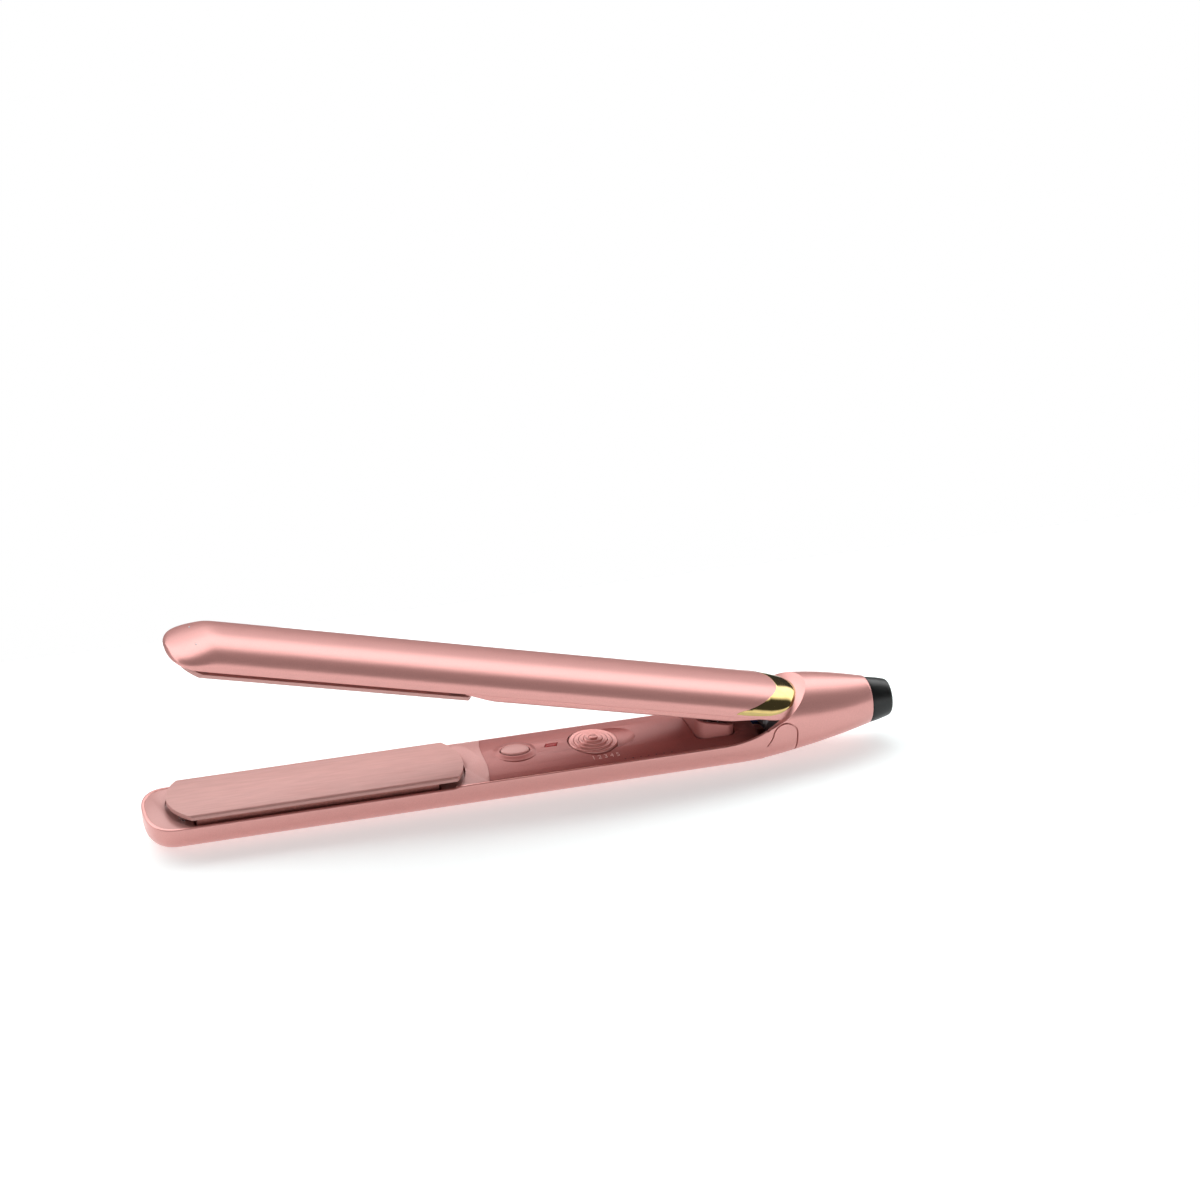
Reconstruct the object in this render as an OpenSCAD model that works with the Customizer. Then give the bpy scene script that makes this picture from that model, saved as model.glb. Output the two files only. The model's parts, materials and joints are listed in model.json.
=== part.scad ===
// Flat iron (hair straightener), millimetres.
// +X runs from the plate tips to the cord end, Y across the arms, +Z up.
// The lower arm lies on z = 0. The upper arm is drawn closed, then swung open about the hinge pin.

/* [Arms] */
// Overall length from the nose to the end of the cord gland
overall_l = 285; // [280:1:290]
// Width of both arms
arm_w = 33; // [32.6:0.1:33.4]
// Height of the parting plane, where the two plates meet
parting_z = 15; // [15:0.1:15.2]
// Distance from the parting plane to each shell's rim
rim_gap = 3.7; // [3.6:0.1:3.8]
// Height of the upper shell above its rim
upper_h = 9; // [8.8:0.1:9.4]
// Wall thickness of the two arm shells
wall = 1.6; // [1.4:0.1:1.8]
// Roundness of the arm section: 2 is an ellipse, more is squarer
section_n = 2.5; // [2.3:0.1:2.8]
// Angle between the arms at rest
open_angle = 13.75; // [12:0.25:13.75]

/* [Plates] */
// Width of each heating plate
plate_w = 29; // [28.6:0.1:29.2]
// Left end of a plate's straight sides
plate_x0 = -128; // [-129:0.5:-127]
// Right end of a plate's straight sides
plate_x1 = -31; // [-32:0.5:-31]
// Space left between the two plates when the arms are shut
plate_space = 0.3; // [0.2:0.05:0.4]
// Travel of each floating plate
plate_float = 1; // [0.6:0.1:1]

/* [Controls] */
// Place of the power button along the arm
button_x = -5.1; // [-7:0.5:-4]
// Travel of the power button
button_travel = 0.8; // [0.5:0.1:0.8]
// Place of the temperature dial along the arm
dial_x = 24.9; // [24:0.1:26]
// Radius of the temperature dial
dial_r = 9.2; // [8.6:0.1:9.4]
// Place of the indicator lens along the arm
lens_x = 9; // [8:0.5:10]

/* [Hinge and cord end] */
// Place of the hinge pin along the arm
pivot_x = 95.2; // [95:0.1:95.4]
// Height of the hinge pin
pivot_z = 13.3; // [13.2:0.1:13.4]
// Radius of the hinge pin
pin_r = 2; // [1.8:0.1:2]
// Radius of the hole for the cord
cord_hole_r = 3.2; // [2.8:0.1:3.4]

/* [Hidden] */
$fn = 48;

// Driving positions worked out from the sizes above
half_l = overall_l / 2;
half_w = arm_w / 2;
rim_z = parting_z - rim_gap;

// Noses as [length, tip]
lower_nose = [11.5, -half_l];
upper_nose = [14, -half_l + 1.5];
nose_x = lower_nose[1] + lower_nose[0];
upper_nose_x = upper_nose[1] + upper_nose[0];
seam_x = 88;
keel_cut = 0.3;
arc_steps = 20;
nose_steps = 7;

// Plates and what carries them, as distances from the parting plane
plate_top = parting_z - plate_space / 2;
plate_base = 1.65;
skirt_h = 2.25;
carrier_x0 = -125;
carrier_x1 = -37;
carrier_w = 24.2;
carrier_top = plate_top - plate_base;
heater_h = 1.1;
film_h = 0.2;
carrier_floor = carrier_top - heater_h - film_h;
carrier_bottom = 8.6;
frame_top = plate_top - skirt_h - plate_float - 0.6;
frame_bottom = frame_top - 1.4;
frame_x1 = -25;
frame_hole_w = 25.2;
float_spring_x = [-112, -48];
float_spring_r = 2.3;
float_wire_r = 0.35;
lower_seat_z = 3.4;
upper_seat_z = rim_z - upper_h + wall;

// Control panel on the lower arm
panel_top = 14.2;
panel_t = 1.6;
panel_half = 12.6;
saddle_x = -20.5;
panel_x1 = 86;
horn_x = 69;
horn_z = 9.6;
button_size = [10.8, 8];
button_top = 15;
dial_y = -0.3;
dial_edge_z = 14.1;
dial_top_z = 15.8;
scoop_x = 31.6;
scoop_r = 8.9;
scoop_depth = 1;
board_z = 6;
board_t = 1.6;
board_top = board_z + board_t;

// Spring housing between the arms
housing_x = [62.5, 78];
housing_half = 10;
housing_floor = 4.4;
spring_x = 70;
spring_r = 4.2;
spring_wire_r = 0.6;
spring_top = 27.2;

// Inner cover of the upper arm
cover_z = 16.4;
cover_half = 13.2;
cover_x1 = 86;

// Rear collar
collar_end_x = 133.5;
collar_wall = [2.4, 1.6];
cap_t = 1;
arch_r = 4.5;
boss_inner_y = 9.3;
running_gap = 0.05;
bulkhead_x = 130;
bush_r = 6.5;
pin_l = 30;

// Swivelling cord gland
gland_z = 14.4;
gland_x0 = 134.3;
gland_r = [8.7, 6.7];
stem_r = 5;
stem_x = 121;
core_r = 3.5;
ring_r = 4.2;
ring_x = [113.5, 117];
ring_l = 2;
cord_hole_l = 20;
clip_x = 122;
clip_t = 1.2;

// Parts of the upper arm
trim_t = 0.5;
spring_seat_x = 68.7;
spring_seat_z = 22.4;

lacquer = "#c98f8a";
panel_red = "#7d3b39";
rose_ceramic = "#b9827e";
black_rubber = "#1b1d1d";

// ---- shapes ----

// One superellipse coordinate for a cosine or sine
function bulge(c, n) = (c < 0 ? -1 : 1) * pow(abs(c), 2 / n);

// Half section of an arm: a flat rim closed by a rounded back, side = -1 below it and 1 above it
function half_section(x, w, h, rim, side, lift = 0, flat = 0) =
    let (arc = [for (i = [0 : arc_steps])
            let (t = 180 * i / arc_steps)
            [x, side * w * bulge(cos(t), section_n),
             rim + side * min(h, (h + flat) * bulge(sin(t), section_n))]])
    lift == 0 ? arc
              : concat([[x, side * w, rim - side * lift]], arc, [[x, -side * w, rim - side * lift]]);

// One half of the collar's section, from angle t0 round to t0 + 180
function collar_half(x, w, h, mid, n, t0) =
    [for (i = [0 : arc_steps])
        let (t = t0 + 180 * i / arc_steps)
        [x, w * bulge(cos(t), n), mid + h * bulge(sin(t), n)]];

// A closed solid through rings of points, given in order along +X
module loft(rings) {
    n = len(rings[0]);
    last = len(rings) - 1;
    polyhedron(
        points = [for (r = rings) each r],
        faces = concat(
            [[for (i = [0 : n - 1]) i]],
            [[for (i = [0 : n - 1]) last * n + n - 1 - i]],
            [for (j = [0 : last - 1], i = [0 : n - 1])
                let (k = (i + 1) % n)
                [j * n + i, (j + 1) * n + i, (j + 1) * n + k, j * n + k]]));
}

// Extrudes an outline drawn in side view (x, z) across the whole width
module across(width = 60) {
    translate([0, width / 2, 0]) rotate([90, 0, 0]) linear_extrude(width) children();
}

// Extrudes an outline drawn in end view (y, z) from x0 to x1
module along(x0, x1) {
    translate([x0, 0, 0]) rotate([90, 0, 90]) linear_extrude(x1 - x0) children();
}

// A box from its lowest to its highest corner
module block(low, high) {
    translate(low) cube(high - low);
}

// A round bar between two heights
module post(x, y, z0, z1, r) {
    translate([x, y, z0]) cylinder(r = r, h = z1 - z0);
}

// A ring along X
module tube_x(x0, x1, r, hole, z = gland_z) {
    translate([x0, 0, z]) rotate([0, 90, 0]) difference() {
        cylinder(r = r, h = x1 - x0);
        translate([0, 0, -1]) cylinder(r = hole, h = x1 - x0 + 2);
    }
}

// Outline of an ellipse
function oval(size, n = 40) =
    [for (i = [0 : n - 1]) [size[0] / 2 * cos(360 * i / n), size[1] / 2 * sin(360 * i / n)]];

// Outline of a rectangle with round corners
function round_box(x0, x1, half, r, steps = 6) =
    [for (q = [0 : 3], i = [0 : steps])
        let (a = 90 * (q + i / steps),
             cx = (q == 0 || q == 3) ? x1 - r : x0 + r,
             cy = q < 2 ? half - r : r - half)
        [cx + r * cos(a), cy + r * sin(a)]];

// Points of a shallow arc of the given rise, from (x, -half) to (x, half), bulging in direction dir
function end_arc(x, half, rise, dir, steps = 12) =
    let (r = (half * half + rise * rise) / (2 * rise), a = asin(half / r))
    [for (i = [0 : steps])
        let (t = -a + 2 * a * i / steps)
        [x + dir * (r * cos(t) - r + rise), r * sin(t)]];

// Outline of a plate, grown by a margin
function plate_outline(grow = 0) =
    concat(
        end_arc(plate_x1 + grow, plate_w / 2 + grow, 3.4, 1),
        [for (p = end_arc(plate_x0 - grow, plate_w / 2 + grow, 5.5, -1)) [p[0], -p[1]]]);

// Plan of an arm's nose and straight sides, back to x1
function arm_plan(nose, inset, x1) =
    let (w = half_w - inset, l = nose[0] - inset)
    concat([[x1, -w], [x1, w]],
        [for (i = [0 : 2 * nose_steps])
            let (t = 90 - 90 * i / nose_steps)
            [nose[0] + nose[1] - l * bulge(cos(t), section_n), w * bulge(sin(t), section_n)]]);

// A coil spring of round wire, swept as one closed tube
module coil(r, wire_r, height, turns, steps = 14, sides = 6) {
    rise = height - 2 * wire_r;
    count = turns * steps;
    rings = [for (j = [0 : count])
        let (a = 360 * j / steps, z = wire_r + rise * j / count)
        [for (i = [0 : sides - 1])
            let (b = -360 * i / sides)
            [(r + wire_r * cos(b)) * cos(a), (r + wire_r * cos(b)) * sin(a),
             z + wire_r * sin(b)]]];
    loft(rings);
}

// A bent wire through points that advance along +X
module wire(points, r, sides = 8) {
    loft([for (p = points)
        [for (i = [0 : sides - 1])
            let (a = 360 * i / sides)
            p + [0, r * cos(a), r * sin(a)]]]);
}

// A pan-head screw along +Z, its head's underside at the origin
module screw(head_r, head_h, r, l) {
    translate([0, 0, -head_h]) difference() {
        cylinder(r = head_r, h = head_h);
        for (turn = [0, 90])
            rotate(turn) translate([-head_r * 0.7, -0.25, -0.1]) cube([head_r * 1.4, 0.5, 0.5]);
    }
    cylinder(r = r, h = l);
}

// Mirrors the lower half about the parting plane, which makes the upper half
module flipped() {
    translate([0, 0, 2 * parting_z]) mirror([0, 0, 1]) children();
}

// Swings the closed upper arm open about the hinge pin
module opened() {
    translate([pivot_x, 0, pivot_z]) rotate([0, open_angle, 0])
        translate([-pivot_x, 0, -pivot_z]) children();
}

// ---- lower arm ----

// Solid outer form of the lower arm, or its hollow when inset by the wall
module lower_form(inset = 0, x1 = seam_x, lift = 0) {
    depth = rim_z - inset;
    loft(concat(
        [for (i = [0 : nose_steps])
            let (t = 86 - 86 * i / nose_steps, c = bulge(cos(t), section_n))
            half_section(nose_x - (lower_nose[0] - inset) * bulge(sin(t), section_n),
                (half_w - inset) * c, 2.6 + (depth - 2.6) * c, rim_z, -1, lift, keel_cut)],
        [half_section(x1, half_w - inset, depth, rim_z, -1, lift, keel_cut)]));
}

frame_screws = [[-129, 7], [-129, -7], [-33.5, 7], [-33.5, -7]];
board_screw_at = [[-10, 7.5], [-10, -7.5], [54, 7.5], [54, -7.5]];

module lower_shell() {
    color(lacquer) difference() {
        union() {
            difference() {
                lower_form();
                lower_form(wall, seam_x + 1, 1);
            }
            for (p = frame_screws) post(p[0], p[1], wall - 0.2, frame_bottom, 2.4);
            for (p = board_screw_at) post(p[0], p[1], wall - 0.2, board_z, 2.4);
            for (x = float_spring_x) {
                post(x, 0, wall - 0.2, lower_seat_z, 3.4);
                post(x, 0, wall, lower_seat_z + 1.2, 1.4);
            }
        }
        for (p = frame_screws) post(p[0], p[1], 3, 20, 0.9);
        for (p = board_screw_at) post(p[0], p[1], 2.5, 20, 0.9);
        block([horn_x, -30, horn_z], [seam_x + 2, 30, 20]);
    }
}

// A frame inside an arm's rim, open where the plate floats
module plate_frame(nose) {
    difference() {
        translate([0, 0, frame_bottom]) linear_extrude(frame_top - frame_bottom) difference() {
            polygon(arm_plan(nose, wall + 0.4, frame_x1));
            translate([-126, -frame_hole_w / 2]) square([90, frame_hole_w]);
        }
        for (p = frame_screws) post(p[0], p[1], 0, 20, 1.1);
    }
}

module lower_plate_frame() {
    color(panel_red) plate_frame(lower_nose);
}

// Side view of the handle's inner face: a saddle behind the plate, then a level panel
function panel_profile() =
    [[-32, rim_z], [-32, 11.9], [saddle_x, 14.6], [saddle_x + 0.6, panel_top],
     [panel_x1, panel_top], [panel_x1, rim_z]];

// Chamfered section of an inner cover, as a band of the given thickness above the rim
function cover_section(top, half, rim, t) =
    [[-half_w, rim], [-half, top], [half, top], [half_w, rim],
     [half_w - t - 0.3, rim], [half - t * 0.5, top - sign(top - rim) * t],
     [t * 0.5 - half, top - sign(top - rim) * t], [t + 0.3 - half_w, rim]];

module control_panel() {
    color(panel_red) difference() {
        union() {
            difference() {
                along(-32, panel_x1) polygon(cover_section(panel_top, panel_half, rim_z, panel_t));
                block([-40, -30, 0], [saddle_x + 0.3, 30, 30]);
            }
            // saddle, with a full-width body
            intersection() {
                along(-32, saddle_x + 0.6)
                    polygon([[-half_w, rim_z], [-13.4, 14.6], [13.4, 14.6], [half_w, rim_z]]);
                across() polygon(panel_profile());
            }
            // raised surround of the button
            translate([button_x, 0, panel_top - 0.4]) linear_extrude(0.7)
                polygon(oval(button_size + [2, 2]));
            // cup under the dial
            post(dial_x, dial_y, 11.2, panel_top - panel_t + 0.1, dial_r + 1.8);
        }
        // clearance round the plate's end
        translate([0, 0, rim_z - 1]) linear_extrude(10) polygon(plate_outline(0.7));
        translate([button_x, 0, 0]) linear_extrude(30) polygon(oval(button_size + [0.5, 0.5]));
        post(dial_x, dial_y, 12.6, 30, dial_r + 0.4);
        post(dial_x, dial_y, 0, 30, 3.2);
        translate([scoop_x, 0, panel_top - scoop_depth])
            cylinder(r1 = scoop_r - 3, r2 = scoop_r + 0.3, h = scoop_depth * 1.1);
        linear_extrude(30) polygon(lens_outline(0.1));
        linear_extrude(30) polygon(round_box(housing_x[0] - 0.1, housing_x[1] + 0.1,
            housing_half + 0.1, 3));
        for (side = [-1, 1])
            block([horn_x - 0.4, side > 0 ? 13.7 : -30, 0], [panel_x1 + 1, side > 0 ? 30 : -13.7, 30]);
    }
}

// Slanted window of the indicator
function lens_outline(grow = 0) =
    [for (p = [[-2.9, -1.2], [1.7, -1.2], [2.9, 1.2], [-1.7, 1.2]])
        [lens_x + p[0] + sign(p[0]) * grow, 0.8 + p[1] + sign(p[1]) * grow]];

module indicator_lens() {
    color("#8d1416") {
        translate([0, 0, 12.4]) linear_extrude(2.1) polygon(lens_outline());
        translate([0, 0, 11.8]) linear_extrude(0.7) polygon(lens_outline(0.7));
    }
}

module indicator_led() {
    color("#d8c9c4") {
        post(lens_x, 0.8, board_top, 10.2, 1.5);
        translate([lens_x, 0.8, 10.2]) sphere(r = 1.5);
    }
}

module spring_housing() {
    color(panel_red) difference() {
        translate([0, 0, 3]) linear_extrude(19)
            polygon(round_box(housing_x[0], housing_x[1], housing_half, 3));
        // wedge top, parallel to the open upper arm
        across() polygon([[60, 21.25], [60, 40], [90, 40], [90, 13.9]]);
        translate([0, 0, 12]) linear_extrude(20)
            polygon(round_box(housing_x[0] + 1.8, housing_x[1] - 1.8, housing_half - 1.8, 2));
        post(spring_x, 0, housing_floor, 30, spring_r + spring_wire_r + 0.5);
    }
}

module opening_spring() {
    color("silver") translate([spring_x, 0, housing_floor])
        coil(spring_r, spring_wire_r, spring_top - housing_floor, 8);
}

module main_board() {
    color("#2f6b3f") difference() {
        block([-14, -10.5, board_z], [58, 10.5, board_top]);
        for (p = board_screw_at) post(p[0], p[1], 0, 20, 1.1);
    }
}

module board_components() {
    color("#3a3a3c") {
        // triac with its heat spreader, film capacitor, controller chip and resistors
        block([42, -8, board_top], [47, 2, board_top + 3]);
        block([38.5, -8, board_top], [41.5, 2, board_top + 0.8]);
        post(48.5, 5.5, board_top, board_top + 3.5, 2.2);
        block([-3, 4.6, board_top], [5, 9.6, board_top + 1.1]);
        for (x = [8 : 3 : 14]) block([x, -8.5, board_top], [x + 1.6, -5.5, board_top + 0.7]);
    }
}

module button_switch() {
    color("#26282b") {
        block([button_x - 3, -3, board_top], [button_x + 3, 3, 8.7]);
        post(button_x, 0, 8.6, 9.05, 1.4);
    }
}

module dial_potentiometer() {
    color("#3a4757") difference() {
        union() {
            block([dial_x - 6, dial_y - 6, board_top], [dial_x + 6, dial_y + 6, 10.4]);
            post(dial_x, dial_y, 10.3, 11.1, 4);
        }
        post(dial_x, dial_y, 7.9, 20, 2.5 + running_gap);
    }
}

module board_screws() {
    color("silver") for (p = board_screw_at)
        translate([p[0], p[1], board_top]) rotate([180, 0, 0]) screw(1.9, 1.2, 0.9, 4.6);
}

// Screws that hold a plate frame, hidden under the plate
module frame_screw_set() {
    for (p = frame_screws)
        translate([p[0], p[1], frame_top]) rotate([180, 0, 0]) screw(1.8, 0.8, 0.9, 6);
}

module lower_frame_screws() {
    color("silver") frame_screw_set();
}

// Springs under a plate carrier, standing on a seat at height z
module float_spring_set(z) {
    for (x = float_spring_x)
        translate([x, 0, z]) coil(float_spring_r, float_wire_r, carrier_bottom - z, 4, 12);
}

module lower_float_springs() {
    color("silver") float_spring_set(lower_seat_z);
}

module lower_heater_leads() {
    color("#b23a32") for (y = [-3.5, 3.5])
        wire([[-31, y, 8.2], [-20, y, 8.2], [-13.9, y, 8.6]], 0.8);
}

module mains_leads() {
    color("#3465a4") for (side = [-1, 1])
        wire([[56.4, side * 9.4, 8.5], [58.8, side * 9.4, 8.5], [61, side * 11.4, 7.6],
              [79, side * 11.4, 7], [86, side * 10.2, 6.8], [98, side * 8, 6.6],
              [106, side * 4.5, 8]], 0.8);
}

// ---- collar and hinge ----

// Share of the way from a to b, held between 0 and 1
function way(x, a, b) = max(0, min(1, (x - a) / (b - a)));
function taper(x) = pow(way(x, 104, collar_end_x), 1.25);
function collar_w(x) = half_w - 7.3 * taper(x);
function collar_low(x) = x < 104 ? 2.4 * pow(way(x, 80, 104), 1.7) : 2.4 + 3 * way(x, 104, collar_end_x);
function collar_mid(x) = [rim_z + 3 * pow(way(x, 88, 116), 1.2), 15.4 - 0.7 * taper(x)];
function collar_high(x) = 27.8 - 4 * taper(x);
function collar_n(x) = [section_n - 0.5 * way(x, 88, collar_end_x), 2.2 - 0.2 * taper(x)];
collar_stations = [66, 80, 86, 92, 98, 104, 110, 116, 122, 128, collar_end_x];

// Solid outer form of the collar, or its hollow when inset by [below, above]
module collar_form(inset = [0, 0], x1 = collar_end_x) {
    loft([for (x = collar_stations)
        if (x <= x1)
            let (w = collar_w(x), mid = collar_mid(x), n = collar_n(x))
            concat(
                collar_half(x, w - inset[0], mid[0] - collar_low(x) - inset[0], mid[0], n[0], 180),
                collar_half(x, w - inset[1], collar_high(x) - inset[1] - mid[1], mid[1], n[1], 0))]);
}

// Side view of what the collar leaves open: all in front of its seam and its slanted mouth,
// whose lower lips run forward along the arm as two horns
mouth_cut = [
    [60, -5], [seam_x, -5], [seam_x, horn_z], [horn_x, horn_z], [horn_x, 10.5], [77, 11.6],
    [85, 14], [89, 16.2], [93, 19], [97, 22.8], [100.5, 25.2], [104.4, 27.3], [104.4, 40],
    [60, 40]
];

// Outline of a hinge cap: an arch round the pin that runs down to the seam and the underside
module arch(r) {
    translate([pivot_x, pivot_z]) circle(r = r);
    polygon([[pivot_x - r, pivot_z], [seam_x, 9], [seam_x, -5], [pivot_x + r, -5],
             [pivot_x + r, pivot_z]]);
}

// Skin of one side of the collar under a hinge cap
module cap_skin(r, t, side) {
    intersection() {
        difference() {
            collar_form([0, 0], 110);
            collar_form([t, t], 116);
        }
        translate([0, side > 0 ? 30 : -5, 0]) rotate([90, 0, 0]) linear_extrude(25) arch(r);
    }
}

// Hollow bosses that hold the ends of the hinge pin
module pin_bosses() {
    intersection() {
        collar_form([cap_t + 0.15, cap_t + 0.15], 110);
        for (side = [-1, 1])
            translate([pivot_x, side > 0 ? 16 : -boss_inner_y, pivot_z])
                rotate([90, 0, 0]) cylinder(r = 4.2, h = 16 - boss_inner_y);
    }
}

module pin_shape(r, l) {
    translate([pivot_x, l / 2, pivot_z]) rotate([90, 0, 0]) cylinder(r = r, h = l);
}

module rear_collar() {
    color(lacquer) difference() {
        union() {
            difference() {
                collar_form();
                intersection() {
                    collar_form(collar_wall);
                    block([60, -30, -5], [bulkhead_x, 30, 40]);
                }
                // everything in front of the slanted mouth
                across() polygon(mouth_cut);
            }
            pin_bosses();
        }
        for (side = [-1, 1]) cap_skin(arch_r + 0.15, cap_t + 0.1, side);
        pin_shape(pin_r, 40);
        translate([bulkhead_x - 1, 0, gland_z]) rotate([0, 90, 0]) cylinder(r = bush_r, h = 10);
    }
}

module hinge_pin() {
    color("silver") pin_shape(pin_r, pin_l);
}

module hinge_cap_near() {
    color(lacquer) cap_skin(arch_r, cap_t, -1);
}

module hinge_cap_far() {
    color(lacquer) cap_skin(arch_r, cap_t, 1);
}

// ---- cord end ----

module swivel_bush() {
    color("#cfcac4") tube_x(124, 133.2, bush_r, stem_r + running_gap);
}

module brush_holder() {
    color("#3b3b3f") block([110, -4, gland_z - 6.9], [120.5, 4, gland_z - 5.6]);
}

module slip_ring_brushes() {
    color("goldenrod") for (x = ring_x)
        block([x + 0.3, -2, gland_z - 5.6], [x + ring_l - 0.3, 2, gland_z - ring_r - 0.15]);
}

module cord_gland() {
    color(black_rubber) difference() {
        union() {
            translate([gland_x0, 0, gland_z]) rotate([0, 90, 0])
                cylinder(r1 = gland_r[0], r2 = gland_r[1], h = half_l - gland_x0);
            translate([stem_x, 0, gland_z]) rotate([0, 90, 0])
                cylinder(r = stem_r, h = gland_x0 - stem_x + 0.5);
            translate([ring_x[0] - 1.5, 0, gland_z]) rotate([0, 90, 0])
                cylinder(r = core_r, h = stem_x - ring_x[0] + 2);
        }
        translate([half_l - cord_hole_l, 0, gland_z]) rotate([0, 90, 0])
            cylinder(r = cord_hole_r, h = cord_hole_l + 1);
        // groove of the retaining clip
        tube_x(clip_x, clip_x + clip_t, stem_r + 1, stem_r - 0.7);
    }
}

module slip_rings() {
    color("goldenrod") for (x = ring_x) tube_x(x, x + ring_l, ring_r, core_r);
}

module retaining_clip() {
    color("silver") tube_x(clip_x, clip_x + clip_t, bush_r, stem_r - 0.7);
}

// ---- upper arm, drawn closed ----

// Rear end of the upper arm: its half width shrinks to the middle as x grows
function rear_w(x) = half_w * pow(1 - pow(way(x, 85, 100.4), 1.75), 1 / 1.75);
function rear_h(x) = pow(1 - pow(way(x, 89, 100.6), 4), 1 / 4);

module upper_form(inset = 0, lift = 0) {
    h = upper_h - inset;
    rim = 2 * parting_z - rim_z;
    l = upper_nose[0] - inset;
    loft(concat(
        [for (i = [0 : nose_steps])
            let (t = 86 - 86 * i / nose_steps, c = bulge(cos(t), section_n))
            half_section(upper_nose_x - l * bulge(sin(t), section_n),
                (half_w - inset) * c, 1.4 + (h - 1.4) * pow(c, 0.8), rim, 1, lift)],
        [for (x = [86, 89, 91.5, 93.5, 95.5, 97.5, 99, 100.2])
            half_section(x - inset, rear_w(x) - inset * min(1, rear_w(x) / 6), h * rear_h(x),
                rim, 1, lift)]));
}

// Region of the gold crescent in plan, behind an arc that sweeps forward to the rim
module crescent_cut() {
    linear_extrude(60) polygon(concat(
        [for (i = [0 : 16])
            let (a = -90 + 180 * i / 16)
            [74 + 15.9 * cos(a), (half_w + 0.6) * sin(a)]],
        [[74, 20], [110, 20], [110, -20], [74, -20]]));
}

bracket_screw_at = [[85.3, 5.5], [85.3, -5.5]];

module upper_shell() {
    rim = 2 * parting_z - rim_z;
    color(lacquer) opened() difference() {
        union() {
            difference() {
                upper_form();
                upper_form(wall, 1);
            }
            flipped() for (p = frame_screws)
                post(p[0], p[1], upper_seat_z - 0.2, frame_bottom, 2.4);
            flipped() for (x = float_spring_x)
                post(x, 0, upper_seat_z - 0.2, upper_seat_z + 1.2, 1.4);
            // ceiling that the opening spring pushes on
            post(spring_seat_x, 0, spring_seat_z, rim + upper_h - wall + 0.2, 6.2);
            for (p = bracket_screw_at)
                post(p[0], p[1], rim + 1.9, rim + upper_h - wall - 0.1, 2.6);
        }
        flipped() for (p = frame_screws) post(p[0], p[1], 3, 20, 0.9);
        for (p = bracket_screw_at) post(p[0], p[1], rim - 1, rim + 6, 0.9);
        intersection() {
            difference() {
                upper_form(-0.5);
                upper_form(trim_t);
            }
            crescent_cut();
        }
    }
}

module gold_trim() {
    color("gold") opened() intersection() {
        difference() {
            upper_form();
            upper_form(trim_t - 0.05);
        }
        crescent_cut();
    }
}

module upper_plate_frame() {
    color(panel_red) opened() flipped() plate_frame(upper_nose);
}

module upper_inner_cover() {
    rim = 2 * parting_z - rim_z;
    color(panel_red) opened() difference() {
        union() {
            along(saddle_x, cover_x1)
                polygon(cover_section(cover_z, cover_half, rim, panel_t));
            intersection() {
                along(-32, saddle_x + 0.6)
                    polygon([[-half_w, rim], [-cover_half, cover_z], [cover_half, cover_z],
                             [half_w, rim]]);
                across() polygon([[-32, rim], [-32, 18], [saddle_x, cover_z],
                                  [saddle_x + 1, cover_z], [saddle_x + 1, rim]]);
            }
        }
        translate([0, 0, rim - 9]) linear_extrude(10) polygon(plate_outline(0.7));
        linear_extrude(40) polygon(round_box(housing_x[0] - 3, housing_x[1] + 3,
            housing_half + 1.2, 3.4));
        block([81.5, -9, 0], [cover_x1 + 1, 9, 40]);
    }
}

module hinge_bracket() {
    rim = 2 * parting_z - rim_z;
    color("#8f9499") opened() difference() {
        union() {
            pin_shape(5, 18);
            block([89, -7.5, pivot_z], [95.5, 7.5, rim + 0.5]);
            block([82.6, -8.4, rim + 0.3], [94.6, 8.4, rim + 1.9]);
        }
        pin_shape(pin_r + running_gap, 30);
        for (p = bracket_screw_at) post(p[0], p[1], 0, 40, 1.1);
    }
}

module bracket_screws() {
    rim = 2 * parting_z - rim_z;
    color("silver") opened() for (p = bracket_screw_at)
        translate([p[0], p[1], rim + 0.3]) screw(2.1, 1.2, 0.9, 5.4);
}

module upper_frame_screws() {
    color("silver") opened() flipped() frame_screw_set();
}

module upper_float_springs() {
    color("silver") opened() flipped() float_spring_set(upper_seat_z);
}

module upper_heater_leads() {
    color("#b23a32") opened() for (y = [-11, 11])
        wire([[-35.5, y, 21.8], [-25, y, 22.2], [80, y, 22.2]], 0.8);
}

// ---- floating plates, drawn for the lower arm ----

module plate_shape() {
    half = plate_w / 2;
    low = plate_top - skirt_h;
    inner = half - 0.9;
    intersection() {
        along(plate_x0 - 10, plate_x1 + 10) polygon([
            [-half, low], [-half, plate_top - 1.2], [-half + 0.4, plate_top - 0.4],
            [-half + 1.3, plate_top], [half - 1.3, plate_top], [half - 0.4, plate_top - 0.4],
            [half, plate_top - 1.2], [half, low], [inner, low],
            [inner - 0.3, carrier_top], [0.3 - inner, carrier_top], [-inner, low]]);
        translate([0, 0, low - 1]) linear_extrude(10) polygon(plate_outline());
    }
}

module carrier_shape() {
    half = carrier_w / 2;
    difference() {
        union() {
            block([carrier_x0, -half, carrier_bottom], [carrier_x1, half, carrier_floor]);
            for (side = [-1, 1])
                block([carrier_x0, side > 0 ? half - 1.8 : -half, carrier_floor - 0.1],
                    [carrier_x1, side > 0 ? half : 1.8 - half, carrier_top]);
        }
        for (x = float_spring_x) post(x, 0, 0, carrier_bottom + 1.5, 1.8);
        // lightening pockets under the heater
        for (x = [-98, -73]) block([x, -9, carrier_bottom - 1], [x + 11, 9, carrier_bottom + 1.8]);
    }
}

module heater_shape() {
    for (x = [-104, -79])
        block([x, -7, carrier_floor + film_h], [x + 24, 7, carrier_top]);
}

module insulation_shape() {
    block([-108, -9, carrier_floor], [-51, 9, carrier_floor + film_h]);
}

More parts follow.
